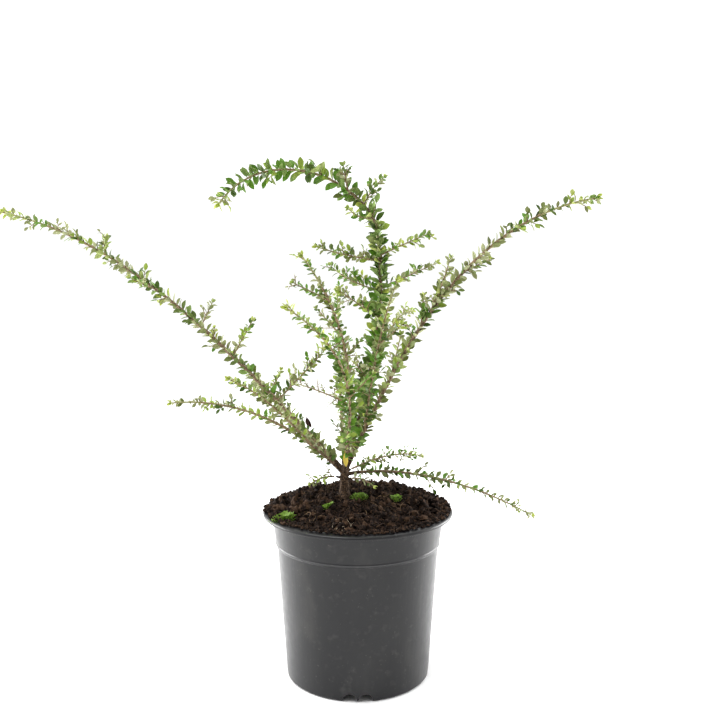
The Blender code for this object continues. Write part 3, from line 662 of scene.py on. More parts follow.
def spur(root, along, roll, length, leaf_length, spray, share):
    """A short side twig with a few leaves and a leafy end."""
    aim = leaf_aim(along, roll, SPUR_LEAN).normalized()
    end = root + aim * length
    if in_the_way(end):
        return
    tube(twig_heap, [root, root + aim * 0.5 * length, end], SPUR_RADII, 5, 1)
    for number, place in enumerate(SPUR_LEAF_PLACES):
        out = leaf_aim(aim, LEAF_TURN * number + roll, SPUR_LEAF_LEAN)
        size = SPUR_LEAF_SHARE * leaf_length
        put_leaf(root + aim * length * place, aim, out, size, spray.next_shade(share))
    put_leaf(end, aim, aim, END_LEAF_SHARE * leaf_length, spray.next_shade(share))


# %% Foliage by the source's rule
NODE_SPACING = 0.0015
SPACING_BY_TONE = {"dark": 0.55 * NODE_SPACING, "open": 0.88 * NODE_SPACING, "thin": 2.2 * NODE_SPACING}
LEAN = (38, 72)
WIDE_LEAN = (48, 84)
TURN_LOOSENESS = 22
LEAF_SIZES = (0.75, 1.12)
TIP_SHRINK = 0.35
GOES_ON_SHARE = 0.6
SPUR_SPACING = 0.012
SPUR_LENGTHS = (0.004, 0.009)
SPUR_TURN = 70
LOWER_PART = 0.45
LOWER_SPURS = 1.5
ROSETTE_SIZE = 0.62


def clothe(points, first, length, leaf_length, tone, goes_on=False):
    """Leaves and spurs along a path from the distance first to its end.

    A limb that another one goes on from keeps its full leaves and has no young tip."""
    spray = Spray(tone)
    roll = chance.uniform(0, 360)
    spacing = SPACING_BY_TONE.get(tone, NODE_SPACING)
    leans = WIDE_LEAN if tone in ("dark", "open") else LEAN
    for number in range(round((length - first) / spacing)):
        share = (first + spacing * (number + 0.5)) / length
        spot, along = place_along(points, share)
        roll += LEAF_TURN + chance.uniform(-TURN_LOOSENESS, TURN_LOOSENESS)
        if goes_on:
            share *= GOES_ON_SHARE
        size = leaf_length * chance.uniform(*LEAF_SIZES) * (1.0 - TIP_SHRINK * share ** 4)
        aim = leaf_aim(along, roll, chance.uniform(*leans))
        put_leaf(spot, along, aim, size, spray.next_shade(share))
        if chance.random() < spacing / SPUR_SPACING:
            reach = chance.uniform(*SPUR_LENGTHS) * (LOWER_SPURS if share < LOWER_PART else 1.0)
            spur(spot, along, roll + SPUR_TURN, reach, size, spray, share)
    if not goes_on:
        end, along = place_along(points, 1.0)
        rosette(end, along, ROSETTE_SIZE * leaf_length, "fresh" if chance.random() < 0.5 else "light")


for limb in LIMBS:
    goes_on = limb.name == "centre_tall"
    clothe(paths[limb.name], limb.bare, limb.length, 0.001 * limb.leaf, limb.tone, goes_on)
print(sum(len(heap.points) for heap in leaf_heaps.values()), "leaves on the limbs")

# %% [markdown]
# ## Twigs and boughs
# The stems taper smoothly and have small knobs, as the scars of old leaves do. Old wood is grey brown, and
# the last stretch of each shoot is still yellowish green. So a stem is one tube in three materials.

# %% Stems
STEM_RING = 0.0016
OLD_WOOD = 0.00125
SLIMMER = 0.9
KNOB = 1.12
RINGS_TO_A_KNOB = 4
YOUNG_SHARE = 0.86
INSIDE_TRUNK = 0.008
LIMB_SIDES = 9
LIMB_RELIEF = 0.28
OLD, TWIG, YOUNG = range(3)


def stem(points, length, start, radius_at, sides, relief):
    """A tube with knobs, in stretches of one material each."""
    count = max(3, round((length - start) / STEM_RING))
    shares = [(start + (length - start) * number / count) / length for number in range(count + 1)]
    spots = [place_along(points, share)[0] for share in shares]
    radii = [
        SLIMMER * radius_at(share) * (KNOB if number % RINGS_TO_A_KNOB == 1 else 1.0)
        for number, share in enumerate(shares)
    ]
    marks = []
    for share, radius in zip(shares[:-1], radii[:-1]):
        mark = OLD if radius > OLD_WOOD else TWIG
        marks += [YOUNG if share > YOUNG_SHARE else mark] * sides
    tube(twig_heap, spots, radii, sides, marks + [marks[0], YOUNG], relief)


for limb in LIMBS:
    start = INSIDE_TRUNK if limb.parent == "trunk" else 0.0
    stem(
        paths[limb.name], limb.length, start, lambda share: thickness(limb, share), LIMB_SIDES, LIMB_RELIEF
    )

# %% Side shoots
SHOOT_LEAF = 8.0
SHOOT_BARE = 0.004
SHOOT_LEAF_SHARE = 0.88
THIN_LEAF_SHARE = 0.5
SHOOT_RADIUS = 0.0009
SHOOT_TAPER = 0.0004
SHOOT_SIDES = 7
SHOOT_RELIEF = 0.2
limb_of = {limb.name: limb for limb in LIMBS}


def shoot_radius(share):
    """Radius of a side shoot at a share of its length."""
    return SHOOT_RADIUS - SHOOT_TAPER * share


for shoot in SHOOTS:
    root, _ = place_along(paths[shoot.parent], shoot.at)
    way = arc_points(root, shoot.heading, shoot.swing, shoot.rise, shoot.bend, 1.0, shoot.length)
    stem(way, shoot.length, 0.0, shoot_radius, SHOOT_SIDES, SHOOT_RELIEF)
    leaf_share = THIN_LEAF_SHARE if shoot.tone == "thin" else SHOOT_LEAF_SHARE
    leaf = 0.001 * leaf_share * min(limb_of[shoot.parent].leaf, SHOOT_LEAF)
    clothe(way, SHOOT_BARE, shoot.length, leaf, shoot.tone)

# %% Bark and the joined pieces
old_bark = speckled(
    "old_bark", ((0.060, 0.036, 0.021), (0.175, 0.118, 0.070), (0.330, 0.250, 0.165)),
    scale=900, roughness=0.85, bump=0.0004,
)
twig_bark = speckled(
    "twig_bark", ((0.110, 0.072, 0.036), (0.230, 0.160, 0.085), (0.340, 0.265, 0.160)),
    scale=1400, roughness=0.75, bump=0.0002,
)
young_bark = speckled(
    "young_bark", ((0.200, 0.160, 0.070), (0.290, 0.300, 0.120)), scale=1200, roughness=0.6, bump=0.0001
)
masses = [name for name in frame["nodes"] if name.endswith("leaves")]
boughs = [name for name in frame["nodes"] if name.endswith("bough")]
twigs = make_piece("twigs", twig_heap, (old_bark, twig_bark, young_bark))
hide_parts(*masses, *boughs)
for shade, heap in leaf_heaps.items():
    make_piece(f"leaves_{shade}", heap, leaf_finishes[shade])

# %% [markdown]
# ## Trunk
# The short trunk widens into roots at the ground and parts into twelve limbs, a few of them thin. Tubes
# that cross would show hard seams, so a voxel remesh melts them into one skin. The bark's ridges are then
# pushed out along the normals.

# %% Trunk and roots
# Each pair is a share of the trunk's height and the radius there.
TRUNK_RADII = ((0.0, 0.0056), (0.14, 0.0047), (0.34, 0.0043), (0.62, 0.0040), (0.88, 0.0036), (1.0, 0.0034))
TRUNK_SIDES = 16
TRUNK_SINK = 0.002
ROOT_HEADINGS = (20, 105, 190, 275)
ROOT_REACH = 0.0070
ROOT_TOP = 0.0085
ROOT_KNEE = 0.0024
ROOT_KNEE_PLACE = 0.55
ROOT_SINK = 0.0015
ROOT_RADII = (0.0026, 0.0023, 0.0013)
ROOT_SIDES = 10
trunk_heap = Heap()


def add_column():
    """The trunk itself, sunk a little into the compost."""
    column = [place_along(paths["trunk"], share)[0] for share, _ in TRUNK_RADII]
    column[0] = column[0] - Vector((0, 0, TRUNK_SINK))
    tube(trunk_heap, column, [radius for _, radius in TRUNK_RADII], TRUNK_SIDES)


def add_root(heading):
    """One root that leaves the trunk and goes into the compost."""
    foot = paths["trunk"][0]
    out = ROOT_REACH * direction(heading, 0)
    top = foot + Vector((0, 0, ROOT_TOP))
    knee = foot + ROOT_KNEE_PLACE * out + Vector((0, 0, ROOT_KNEE))
    end = foot + out - Vector((0, 0, ROOT_SINK))
    tube(trunk_heap, [top, knee, end], ROOT_RADII, ROOT_SIDES)


add_column()
for heading in ROOT_HEADINGS:
    add_root(heading)
print("trunk with", len(ROOT_HEADINGS), "roots")

# %% The first stretch of each limb
ARM = 0.013
THIN_ARM = 0.5 * ARM
ARM_STEPS = 6
ARM_SIDES = 10
THIN_LIMB = 0.0012
FULLER = 1.05


def add_arm(limb):
    """The first stretch of a limb, a little fuller than the limb's own stem."""
    reach = ARM if limb.base > THIN_LIMB else THIN_ARM
    shares = [reach * number / ARM_STEPS / limb.length for number in range(ARM_STEPS + 1)]
    arm = [place_along(paths[limb.name], share)[0] for share in shares]
    tube(trunk_heap, arm, [FULLER * thickness(limb, share) for share in shares], ARM_SIDES)


for limb in LIMBS:
    if limb.parent == "trunk":
        add_arm(limb)
trunk_wood = speckled(
    "trunk_wood", ((0.012, 0.007, 0.004), (0.048, 0.027, 0.015), (0.150, 0.092, 0.052)),
    scale=700, roughness=0.9, bump=0.0005,
)
trunk = make_piece("trunk_bark", trunk_heap, (trunk_wood,))

# %% One skin with ridges
SKIN_VOXEL = 0.00042
RIDGE_HEIGHT = 0.00042
RIDGE_SCALE = 800
RIDGE_STRETCH = 0.35
# The roughness of the fractal, how much finer each of its layers is, and how many it has.
RIDGE_LAYERS = (0.8, 2.0, 4)
SMOOTH_ROUNDS = 3


def applied(obj):
    """The object's mesh with its modifiers applied, and the modifiers gone."""
    graph = bpy.context.evaluated_depsgraph_get()
    mesh = bpy.data.meshes.new_from_object(obj.evaluated_get(graph))
    obj.modifiers.clear()
    obj.data = mesh
    return mesh


fuse = trunk.modifiers.new("fuse", "REMESH")
fuse.mode = "VOXEL"
fuse.voxel_size = SKIN_VOXEL
even = trunk.modifiers.new("even", "SMOOTH")
even.iterations = SMOOTH_ROUNDS
skin = applied(trunk)
outward = [corner.vector.copy() for corner in skin.vertex_normals]
for vertex, normal in zip(skin.vertices, outward):
    stretched = Vector((vertex.co.x, vertex.co.y, RIDGE_STRETCH * vertex.co.z))
    vertex.co += normal * RIDGE_HEIGHT * noise.fractal(stretched * RIDGE_SCALE, *RIDGE_LAYERS)
skin.shade_smooth()
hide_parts("trunk")
print("trunk skin:", len(skin.polygons), "faces")

# %% [markdown]
# ## Pot
# The pot is one blown or moulded wall. Half its profile, turned about the axis, makes all of it. The
# corners are rounded first, because the bright lines in the photograph are light caught by round edges.

# %% Round corners
CORNER_RADIUS = 0.0010
LONGEST_CUT = 0.45


def rounded(points, radius, cuts=4):
    """The outline with each corner replaced by a short curve."""
    result = [points[0]]
    for before, corner, after in zip(points, points[1:], points[2:]):
        before, corner, after = Vector(before), Vector(corner), Vector(after)
        shorter = min((corner - before).length, (after - corner).length)
        reach = min(radius, LONGEST_CUT * shorter)
        one = corner + (before - corner).normalized() * reach
        two = corner + (after - corner).normalized() * reach
        for number in range(cuts + 1):
            share = number / cuts
            result.append(one * (1 - share) ** 2 + corner * 2 * share * (1 - share) + two * share ** 2)
    return result + [points[-1]]


# %% Pot profile
LEDGE_HEIGHT = POT_HEIGHT - 0.030
COLLAR_FOOT_RADIUS = 0.0736
BODY_TOP_RADIUS = 0.0724
BASE_RADIUS = 0.0644
WALL = 0.0012
FLOOR = 0.0075
UNDERSIDE = 0.006
HUB_RADIUS = 0.016
FOOT_WIDTH = 0.0018
inside = [
    (0, FLOOR), (BASE_RADIUS - WALL, FLOOR), (BODY_TOP_RADIUS - WALL, LEDGE_HEIGHT - 0.0010),
    (COLLAR_FOOT_RADIUS - WALL, LEDGE_HEIGHT + 0.0011), (COLLAR_TOP_RADIUS - WALL, POT_HEIGHT - 0.0030),
]
rolled_rim = [
    (COLLAR_TOP_RADIUS - 0.0004, POT_HEIGHT), (RIM_RADIUS - 0.0012, POT_HEIGHT - 0.0004),
    (RIM_RADIUS, POT_HEIGHT - 0.0016), (RIM_RADIUS - 0.0002, POT_HEIGHT - 0.0034),
    (RIM_RADIUS - 0.0013, POT_HEIGHT - 0.0034), (RIM_RADIUS - 0.0016, POT_HEIGHT - 0.0022),
    (COLLAR_TOP_RADIUS + 0.0004, POT_HEIGHT - 0.0024),
]
bead_on_ledge = [
    (COLLAR_FOOT_RADIUS + 0.0002, LEDGE_HEIGHT + 0.0024),
    (COLLAR_FOOT_RADIUS + 0.0007, LEDGE_HEIGHT + 0.0012),
    (COLLAR_FOOT_RADIUS + 0.0002, LEDGE_HEIGHT), (BODY_TOP_RADIUS, LEDGE_HEIGHT - 0.0012),
]
foot_ring = [
    (BASE_RADIUS, 0.0016), (BASE_RADIUS - FOOT_WIDTH, 0), (BASE_RADIUS - 2 * FOOT_WIDTH, 0),
    (BASE_RADIUS - 2 * FOOT_WIDTH, UNDERSIDE), (HUB_RADIUS, UNDERSIDE), (HUB_RADIUS, 0), (0, 0),
]
pot_points = rounded(inside + rolled_rim + bead_on_ledge + foot_ring, CORNER_RADIUS)
print(len(pot_points), "points in the pot's outline")

# %% Turning and cutting
POT_STEPS = 180
DRAIN_SIDES = 28
MERGE_DISTANCE = 0.00001


def turned(name, points, steps):
    """The outline turned about Z and made a mesh of its own."""
    mesh = bpy.data.meshes.new(name + "_outline")
    edges = [(number, number + 1) for number in range(len(points) - 1)]
    mesh.from_pydata([(point[0], 0, point[1]) for point in points], edges, [])
    obj = bpy.data.objects.new(name, mesh)
    bpy.context.scene.collection.objects.link(obj)
    screw = obj.modifiers.new("turn", "SCREW")
    screw.steps = steps
    screw.render_steps = steps
    screw.use_merge_vertices = True
    screw.merge_threshold = MERGE_DISTANCE
    return obj


def drain_cutter(collection, radius, depth, matrix):
    """A cylinder that cuts a notch or a hole."""
    mesh = bpy.data.meshes.new("drain")
    bm = bmesh.new()
    bmesh.ops.create_cone(
        bm, cap_ends=True, segments=DRAIN_SIDES, radius1=radius, radius2=radius, depth=depth
    )
    bm.to_mesh(mesh)
    bm.free()
    obj = bpy.data.objects.new("drain", mesh)
    obj.matrix_world = matrix
    collection.objects.link(obj)


# %% Drains
NOTCH_WIDTH = 0.0128
NOTCH_HEIGHT = 0.0072
NOTCH_APART = 0.53
NOTCH_CUT = 0.02
HOLE_RADIUS = 0.004
HOLE_RING = 0.044
HOLE_MIDDLE = 0.0067
HOLE_CUT = 0.0045
DRAINS = 4
POT_SHARP_ANGLE = 35
drains = bpy.data.collections.new("drains")
bpy.context.scene.collection.children.link(drains)
flatten = Matrix.Scale(2 * NOTCH_HEIGHT / NOTCH_WIDTH, 4, (1, 0, 0))
for notch in range(DRAINS):
    around = Matrix.Rotation(math.tau * notch / DRAINS - math.pi / 2, 4, "Z")
    lie_down = around @ Matrix.Rotation(math.pi / 2, 4, "Y")
    for side in (-1, 1):
        place = Matrix.Translation(around @ Vector((BASE_RADIUS, side * NOTCH_APART * NOTCH_WIDTH, 0)))
        drain_cutter(drains, NOTCH_WIDTH / 2, NOTCH_CUT, place @ lie_down @ flatten)
    between = Matrix.Rotation(math.tau * (notch + 0.5) / DRAINS, 4, "Z")
    hole = between @ Matrix.Translation((HOLE_RING, 0, HOLE_MIDDLE))
    drain_cutter(drains, HOLE_RADIUS, HOLE_CUT, hole)

pot = turned("nursery_pot", pot_points, POT_STEPS)
cut = pot.modifiers.new("drains", "BOOLEAN")
cut.operand_type = "COLLECTION"
cut.collection = drains
pot_mesh = applied(pot)
for cutter in list(drains.objects):
    bpy.data.objects.remove(cutter)
bpy.data.collections.remove(drains)
pot_mesh.shade_smooth()
pot_mesh.set_sharp_from_angle(angle=math.radians(POT_SHARP_ANGLE))
print("pot:", len(pot_mesh.polygons), "faces")

# %% [markdown]
# ### Pot plastic
# Recycled dark grey plastic is satin, not black. Handling leaves it slightly uneven: dusty smears that are
# lighter, faint upright scratches, and pale spots where muddy water has dried. The ledge and the rim's lip
# carry painted highlights, pale bands that stand in for the light these edges catch. Their height is enough
# to find them.

# %% Painted edge highlights
BLACK = (0, 0, 0)
# The colour, soft edge and heights of the painted highlights on the ledge and the rim's lower lip.
EDGE_HIGHLIGHT_PAINT = (0.045, 0.045, 0.046)
HIGHLIGHT_PAINT_FADE = 0.0003
HIGHLIGHT_PAINT_BANDS = (
    (LEDGE_HEIGHT + 0.0006, LEDGE_HEIGHT + 0.0020),
    (POT_HEIGHT - 0.0036, POT_HEIGHT - 0.0030),
)


def painted_edge_highlights(material):
    """Painted highlights: pale bands on the ledge and the rim's lower lip, found by their height."""
    nodes = material.node_tree.nodes
    place = nodes.new("ShaderNodeTexCoord")
    split = nodes.new("ShaderNodeSeparateXYZ")
    height = nodes.new("ShaderNodeMapRange")
    height.inputs["From Max"].default_value = POT_HEIGHT
    material.node_tree.links.new(place.outputs["Object"], split.inputs["Vector"])
    material.node_tree.links.new(split.outputs["Z"], height.inputs["Value"])
    stops = []
    for low, high in HIGHLIGHT_PAINT_BANDS:
        stops += [(low / POT_HEIGHT, BLACK), ((low + HIGHLIGHT_PAINT_FADE) / POT_HEIGHT, EDGE_HIGHLIGHT_PAINT)]
        stops += [((high - HIGHLIGHT_PAINT_FADE) / POT_HEIGHT, EDGE_HIGHLIGHT_PAINT), (high / POT_HEIGHT, BLACK)]
    return ramp(material, height.outputs["Result"], stops)


def added(material, one, two):
    """The sum of two colours."""
    node = material.node_tree.nodes.new("ShaderNodeMix")
    node.data_type = "RGBA"
    node.blend_type = "ADD"
    node.inputs["Factor"].default_value = 1.0
    material.node_tree.links.new(one, node.inputs["A"])
    material.node_tree.links.new(two, node.inputs["B"])
    return node.outputs["Result"]


# %% Pot material
CLEAN_PLASTIC = (0.006, 0.006, 0.0072)
WORN_PLASTIC = (0.009, 0.009, 0.0098)
DUSTY_PLASTIC = (0.022, 0.021, 0.020)
DRIED_SPOT = (0.030, 0.028, 0.025)
SMEAR = (0.016, 0.015, 0.0135)
SCRATCH_DEPTH = 0.00012
plastic, plastic_shader = new_finish("grey_plastic", WORN_PLASTIC, roughness=0.34, specular=0.24)
dust = add_noise(plastic, 28, 6.0, stretch=(1, 1, 0.45))
spots = add_noise(plastic, 520, 2.0)
scratches = add_noise(plastic, 340, 2.0, stretch=(1, 1, 0.03))
smears = add_noise(plastic, 130, 5.0)
dusty = ramp(plastic, dust, ((0.40, CLEAN_PLASTIC), (0.60, WORN_PLASTIC), (0.74, DUSTY_PLASTIC)))
spotted = ramp(plastic, spots, ((0.0, BLACK), (0.69, BLACK), (0.77, DRIED_SPOT)))
smeared = ramp(plastic, smears, ((0.0, BLACK), (0.56, BLACK), (0.80, SMEAR)))
marked = added(plastic, added(plastic, dusty, spotted), smeared)
links = plastic.node_tree.links
# The painted highlights on the ledge and the rim's lip are added to the plastic's colour.
links.new(added(plastic, marked, painted_edge_highlights(plastic)), plastic_shader.inputs["Base Color"])
links.new(spread(plastic, smears, 0.30, 0.38), plastic_shader.inputs["Roughness"])
plastic_shader.inputs["Coat Weight"].default_value = 0.15
plastic_shader.inputs["Coat Roughness"].default_value = 0.12
add_bump(plastic, plastic_shader, scratches, SCRATCH_DEPTH, 0.5)
pot.data.materials.append(plastic)
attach(pot, "root")
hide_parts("pot")
print("pot finished")

# %% [markdown]
# ## Compost
# Peat is a crust of crumbs with darker gaps between. A fine turned disc follows the mound and carries the
# small lumps. Crumbs, larger lumps and root fibres then lie on it, so the surface is made of real shapes.

# %% Compost bed
peat = speckled(
    "peat", ((0.003, 0.002, 0.0015), (0.013, 0.008, 0.006), (0.055, 0.031, 0.020)),
    scale=420, roughness=0.97, bump=0.0012, specular=0.12,
)
BED_GAP = 0.0007
BED_RADIUS = COLLAR_TOP_RADIUS - WALL - BED_GAP
BED_DEPTH = 0.020
BED_TAPER = 0.0018
BED_RINGS = 56
BED_STEPS = 150
GRAIN_SCALE = 330
GRAIN_HEIGHT = 0.0011
GRAIN_LAYERS = (0.7, 2.1, 4)
GRAIN_LEVEL = 0.7
BED_SINK = 0.0004
top = [(BED_RADIUS * ring / BED_RINGS, POT_HEIGHT) for ring in range(BED_RINGS + 1)]
under = [(BED_RADIUS - BED_TAPER, POT_HEIGHT - BED_DEPTH), (0, POT_HEIGHT - BED_DEPTH)]
bed = turned("compost_bed", top + under, BED_STEPS)
bed_mesh = applied(bed)
for vertex in bed_mesh.vertices:
    x, y, z = vertex.co
    if z > POT_HEIGHT - 0.5 * BED_DEPTH:
        grains = noise.fractal(Vector((x, y, GRAIN_LEVEL)) * GRAIN_SCALE, *GRAIN_LAYERS)
        vertex.co.z = compost_height(x, y) + GRAIN_HEIGHT * grains - BED_SINK
bed_mesh.shade_smooth()
bed_mesh.materials.append(peat)
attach(bed, "root")
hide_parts("compost")
print("compost bed:", len(bed_mesh.polygons), "faces")

# %% Crumb shapes
CRUMB_ROUGHNESS = 0.75
CRUMB_SCALE = 2.4
CRUMB_SHIFT = 7.0
CRUMB_MARKS = (0, 0, 1, 2)


def crumb_forms(count, detail):
    """Irregular lumps about one unit wide, from a ball with its points moved."""
    forms = []
    for number in range(count):
        bm = bmesh.new()
        bmesh.ops.create_icosphere(bm, subdivisions=detail, radius=0.5)
        for vertex in bm.verts:
            uneven = noise.noise(vertex.co * CRUMB_SCALE + Vector((number * CRUMB_SHIFT, 0, 0)))
            vertex.co *= 1 + CRUMB_ROUGHNESS * uneven
        faces = [tuple(vertex.index for vertex in face.verts) for face in bm.faces]
        forms.append((np.array([list(vertex.co) for vertex in bm.verts]), faces))
        bm.free()
    return forms


def on_the_bed(edge=0.0012):
    """A random place on the compost, at least edge away from its border."""
    reach = (BED_RADIUS - edge) * math.sqrt(chance.random())
    turn = chance.uniform(0, math.tau)
    return reach * math.cos(turn), reach * math.sin(turn)


def random_turn():
    """A rotation by any angle about a random axis."""
    angle = chance.uniform(0, math.tau)
    return Matrix.Rotation(angle, 3, (chance.uniform(-1, 1), chance.uniform(-1, 1), 0.6))


crumb_heap = Heap()
small_forms = crumb_forms(9, 1)
large_forms = crumb_forms(7, 2)


def lay_crumb(form, sides, x, y, height):
    """One crumb with these three sizes, turned at random, with its middle at the height."""
    points, faces = form
    placed = points @ np.diag(sides) @ np.array(random_turn())
    crumb_heap.add(placed + (x, y, height), faces, chance.choice(CRUMB_MARKS))


# %% Crumbs on the bed
BED_CRUMBS = 3800
LARGE_CRUMB_EVERY = 7
LARGE_CRUMB_SIZES = (0.0034, 0.0078)
SMALL_CRUMB_SIZES = (0.0010, 0.0030)
CLEAR_OF_TRUNK = 0.006
BED_CRUMB_LIFT = 0.12
for number in range(BED_CRUMBS):
    x, y = on_the_bed()
    large = number % LARGE_CRUMB_EVERY == 0
    size = chance.uniform(*(LARGE_CRUMB_SIZES if large else SMALL_CRUMB_SIZES))
    if math.hypot(x - TRUNK_FOOT[0], y) < CLEAR_OF_TRUNK:
        continue
    form = chance.choice(large_forms if large else small_forms)
    proportions = np.array((1, chance.uniform(0.6, 1), chance.uniform(0.45, 0.85)))
    lay_crumb(form, proportions * size, x, y, compost_height(x, y) + BED_CRUMB_LIFT * size)
print(len(crumb_heap.points), "crumbs on the bed")

# %% Crumbs on the rim
RIM_CRUMBS = 900
RIM_CRUMB_PROPORTIONS = np.array((1, 0.8, 0.6))
RIM_CRUMB_REACH = (0.0735, 0.0835)
RIM_CRUMB_SIZES = (0.0016, 0.0050)
RIM_CRUMB_LIFT = 0.20
RIM_SLOPE = 0.10
# At the front of the rim the crumbs reach less far out and are smaller, by these lengths.
FRONT_REACH = 0.004
FRONT_SIZE = 0.0018
for number in range(RIM_CRUMBS):
    turn = chance.uniform(0, math.tau)
    front = max(0.0, -math.sin(turn))
    reach = chance.uniform(RIM_CRUMB_REACH[0], RIM_CRUMB_REACH[1] - FRONT_REACH * front)
    size = chance.uniform(RIM_CRUMB_SIZES[0], RIM_CRUMB_SIZES[1] - FRONT_SIZE * front)
    form = chance.choice(small_forms if number % 2 else large_forms)
    x, y = reach * math.cos(turn), reach * math.sin(turn)
    height = POT_HEIGHT + RIM_CRUMB_LIFT * size + RIM_SLOPE * (RIM_RADIUS - reach)
    lay_crumb(form, RIM_CRUMB_PROPORTIONS * size, x, y, height)
print(RIM_CRUMBS, "crumbs on the rim")

# %% Lumps that stand up
LUMPS = 380
LUMP_PROPORTIONS = np.array((0.55, 0.45, 1))
LUMP_SIZES = (0.005, 0.0115)
LUMP_LIFT = 0.0024
# Lumps stand at the back and the sides, so these headings leave the front out.
LUMP_HEADINGS = (math.radians(-10), math.radians(205))
LUMP_REACH = (0.045, BED_RADIUS - 0.002)
for number in range(LUMPS):
    turn = chance.uniform(*LUMP_HEADINGS)
    reach = chance.uniform(*LUMP_REACH)
    x, y = reach * math.cos(turn), reach * math.sin(turn)
    form = chance.choice(large_forms)
    size = chance.uniform(*LUMP_SIZES)
    lay_crumb(form, LUMP_PROPORTIONS * size, x, y, compost_height(x, y) + LUMP_LIFT)
print(LUMPS, "lumps that stand up")

# %% Crumb colours
CRUMB_SHARP_ANGLE = 50
dark_crumb = speckled(
    "dark_crumb", ((0.004, 0.003, 0.002), (0.020, 0.011, 0.008)),
    scale=700, roughness=0.95, bump=0.0006, specular=0.15,
)
brown_crumb = speckled(
    "brown_crumb", ((0.020, 0.011, 0.007), (0.075, 0.042, 0.024)),
    scale=600, roughness=0.95, bump=0.0006, specular=0.15,
)
make_piece("peat_crumbs", crumb_heap, (peat, dark_crumb, brown_crumb), CRUMB_SHARP_ANGLE)

# %% [markdown]
# ### Fibres and moss
# Brown fibres and a few pale roots poke out of the peat, and small mossy weeds have come up at four places.
# Both are small, but they tell the eye how large the pot is.

# %% Fibres
FIBRE_STEPS = 5
FIBRE_BEND = 40
FIBRE_CLEARANCE = 0.0008
FIBRE_SIDES = 4
BROWN, TAN, PALE = range(3)
fibre_heap = Heap()


def fibre(x, y, heading, length, radius, lift, mark):
    """A thin bent strand that lies on the compost, with its end lifted."""
    points = []
    for number in range(FIBRE_STEPS + 1):
        share = number / FIBRE_STEPS
        bend = math.radians(heading + FIBRE_BEND * math.sin(3 * share + x * 900))
        px = x + length * share * math.cos(bend)
        py = y + length * share * math.sin(bend)
        if math.hypot(px, py) > BED_RADIUS - 0.001:
            return
        height = compost_height(px, py) + FIBRE_CLEARANCE + lift * share ** 2
        points.append(Vector((px, py, height)))
    radii = [radius * (1.0 - 0.5 * number / FIBRE_STEPS) for number in range(FIBRE_STEPS + 1)]
    tube(fibre_heap, points, radii, FIBRE_SIDES, mark)


# %% Lying fibres, standing fibres and pale roots
LYING_FIBRES = 170
LYING_LENGTHS = (0.006, 0.018)
LYING_LIFTS = (0, 0.004)
THICK_EVERY = 5
THICK_FIBRE = 0.00045
FINE_FIBRE = 0.00022
STANDING_FIBRES = 110
STANDING_LENGTHS = (0.002, 0.006)
STANDING_LIFTS = (0.005, 0.010)
STANDING_RADIUS = 0.00035
PALE_ROOTS = 9
PALE_ROOTS_START = (-0.022, -0.064)
PALE_ROOTS_STEP = (0.0018, 0.001)
for number in range(LYING_FIBRES):
    x, y = on_the_bed(0.004)
    radius = FINE_FIBRE if number % THICK_EVERY else THICK_FIBRE
    heading = chance.uniform(0, 360)
    length = chance.uniform(*LYING_LENGTHS)
    lift = chance.uniform(*LYING_LIFTS)
    fibre(x, y, heading, length, radius, lift, chance.choice((BROWN, BROWN, BROWN, BROWN, TAN)))
for number in range(STANDING_FIBRES):
    x, y = on_the_bed(0.005)
    heading = chance.uniform(0, 360)
    length = chance.uniform(*STANDING_LENGTHS)
    fibre(x, abs(y), heading, length, STANDING_RADIUS, chance.uniform(*STANDING_LIFTS), BROWN)
for number in range(PALE_ROOTS):
    x = PALE_ROOTS_START[0] + PALE_ROOTS_STEP[0] * number
    y = PALE_ROOTS_START[1] + PALE_ROOTS_STEP[1] * (number % 4)
    fibre(x, y, chance.uniform(0, 360), 0.009, 0.00018, 0.002, PALE)
brown_fibre = speckled(
    "brown_fibre", ((0.030, 0.017, 0.010), (0.085, 0.050, 0.028)), scale=800, roughness=0.9, bump=0.0003
)
tan_fibre = speckled(
    "tan_fibre", ((0.130, 0.080, 0.042), (0.260, 0.170, 0.095)), scale=800, roughness=0.9, bump=0.0003
)
pale_root = speckled(
    "pale_root", ((0.420, 0.340, 0.230), (0.560, 0.480, 0.360)), scale=800, roughness=0.8, bump=0.0002
)
make_piece("root_fibres", fibre_heap, (brown_fibre, tan_fibre, pale_root))

# %% Moss tufts
# Each tuft has its centre, its radius and its number of leaflets.
MOSS_TUFTS = (
    (-0.0655, -0.0345, 0.0100, 190), (-0.026, -0.0245, 0.0038, 50), (0.0015, -0.0060, 0.0066, 120),
    (0.034, -0.0060, 0.0042, 40),
)
GOLDEN_TURN = 137.5
LEAFLET_RISES = (30, 75)
LEAFLET_LENGTHS = (0.0022, 0.0036)
MOSS_DOME = 0.45
MOSS_CLEARANCE = 0.0010
moss_heap = Heap()


def laid_along(aim, across):
    """The rows that turn a leaf's own axes to these directions."""
    return np.array([list(aim), list(across), list(aim.cross(across))])


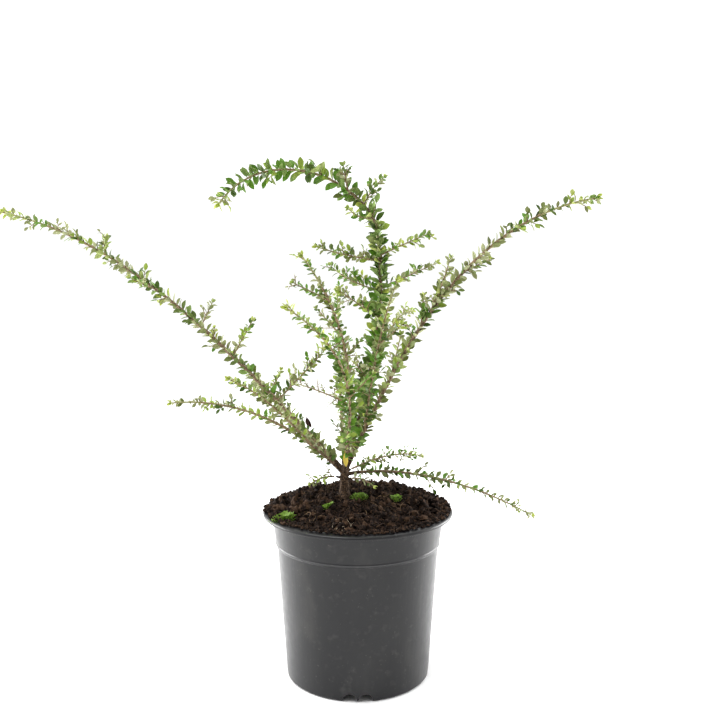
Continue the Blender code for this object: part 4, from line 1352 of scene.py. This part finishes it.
for centre_x, centre_y, reach, count in MOSS_TUFTS:
    for number in range(count):
        turn = GOLDEN_TURN * number
        away = reach * math.sqrt(number / count)
        x = centre_x + away * math.cos(math.radians(turn))
        y = centre_y + away * math.sin(math.radians(turn))
        aim = direction(turn, chance.uniform(*LEAFLET_RISES))
        across = Vector((0, 0, 1)).cross(aim).normalized()
        blade = chance.choice(LEAF_FORMS) * chance.uniform(*LEAFLET_LENGTHS)
        dome = MOSS_DOME * reach * (1.0 - (away / reach) ** 2)
        place = (x, y, compost_height(x, y) + MOSS_CLEARANCE + dome)
        moss_heap.add(blade @ laid_along(aim, across) + place, leaf_sides, leaf_marks)
moss_upper = leaf_finish("moss_upper", (0.130, 0.235, 0.018), roughness=0.6, specular=0.3)
moss_under = leaf_finish("moss_under", (0.210, 0.340, 0.050), roughness=0.7, specular=0.3)
make_piece("moss_tufts", moss_heap, (moss_upper, moss_under))

# %% [markdown]
# ## Odd leaves
# One yellowed leaf hangs at the fork, a dried brown one is caught above it, and a withered pink flower
# is left on the arch. Such faults are what makes a plant look grown.

# %% Yellow leaf, dried leaf and old flower
YELLOW, DRIED, WITHERED = range(3)
YELLOW_PLACE = (-0.0108, -0.0260, 0.2100)
DRIED_PLACE = (-0.0450, -0.0060, 0.2370)
DRIED_HALF_PLACE = (-0.0452, -0.0060, 0.2366)
FLOWER_PLACE = 0.44
PETALS = 5
PETAL_LEAN = 65
PETAL_LENGTH = 0.0042
odd_heap = Heap()


def odd_leaf(root, aim, length, form, mark, width=1.0):
    """A single leaf or petal that faces the front."""
    aim = Vector(aim).normalized()
    across = Vector((0, -1, 0)).cross(aim).normalized()
    points = LEAF_FORMS[form] * (length, width * length, length)
    odd_heap.add(points @ laid_along(aim, across) + root, leaf_sides, mark)


odd_leaf(YELLOW_PLACE, (0.06, -0.12, -1), 0.0125, 0, YELLOW, 0.62)
odd_leaf(DRIED_PLACE, (0.45, -0.1, -1), 0.0100, 2, DRIED, 0.55)
odd_leaf(DRIED_HALF_PLACE, (0.15, -0.3, -1), 0.0070, 2, DRIED, 0.7)
flower, flower_along = place_along(paths["arch"], FLOWER_PLACE)
for number in range(PETALS):
    odd_leaf(flower, leaf_aim(flower_along, 360 / PETALS * number, PETAL_LEAN), PETAL_LENGTH, 3, WITHERED)
yellow = leaf_finish("yellowed_leaf", (0.640, 0.480, 0.060), roughness=0.5, specular=0.4)
dried = leaf_finish("dried_leaf", (0.045, 0.022, 0.018), roughness=0.8, specular=0.2)
withered = leaf_finish("withered_flower", (0.330, 0.130, 0.160), roughness=0.8, specular=0.2)
make_piece("odd_leaves", odd_heap, (yellow, dried, withered))

# %% [markdown]
# ## Floor
# The pot stands on white paper. It is a wide disc just under the origin, and it isn't part of the plant.

# %% Floor
PAPER_RADIUS = 80.0
bm = bmesh.new()
bmesh.ops.create_circle(bm, cap_ends=True, segments=96, radius=PAPER_RADIUS)
floor_mesh = bpy.data.meshes.new("white_paper")
bm.to_mesh(floor_mesh)
bm.free()
floor = bpy.data.objects.new("white_paper", floor_mesh)
bpy.context.scene.collection.objects.link(floor)
paper, paper_shader = new_finish("paper", (0.97, 0.97, 0.97), roughness=0.8, specular=0.1)
add_bump(paper, paper_shader, add_noise(paper, 300, 3.0), 0.0001, 0.2)
floor_mesh.materials.append(paper)
print("paper floor laid")
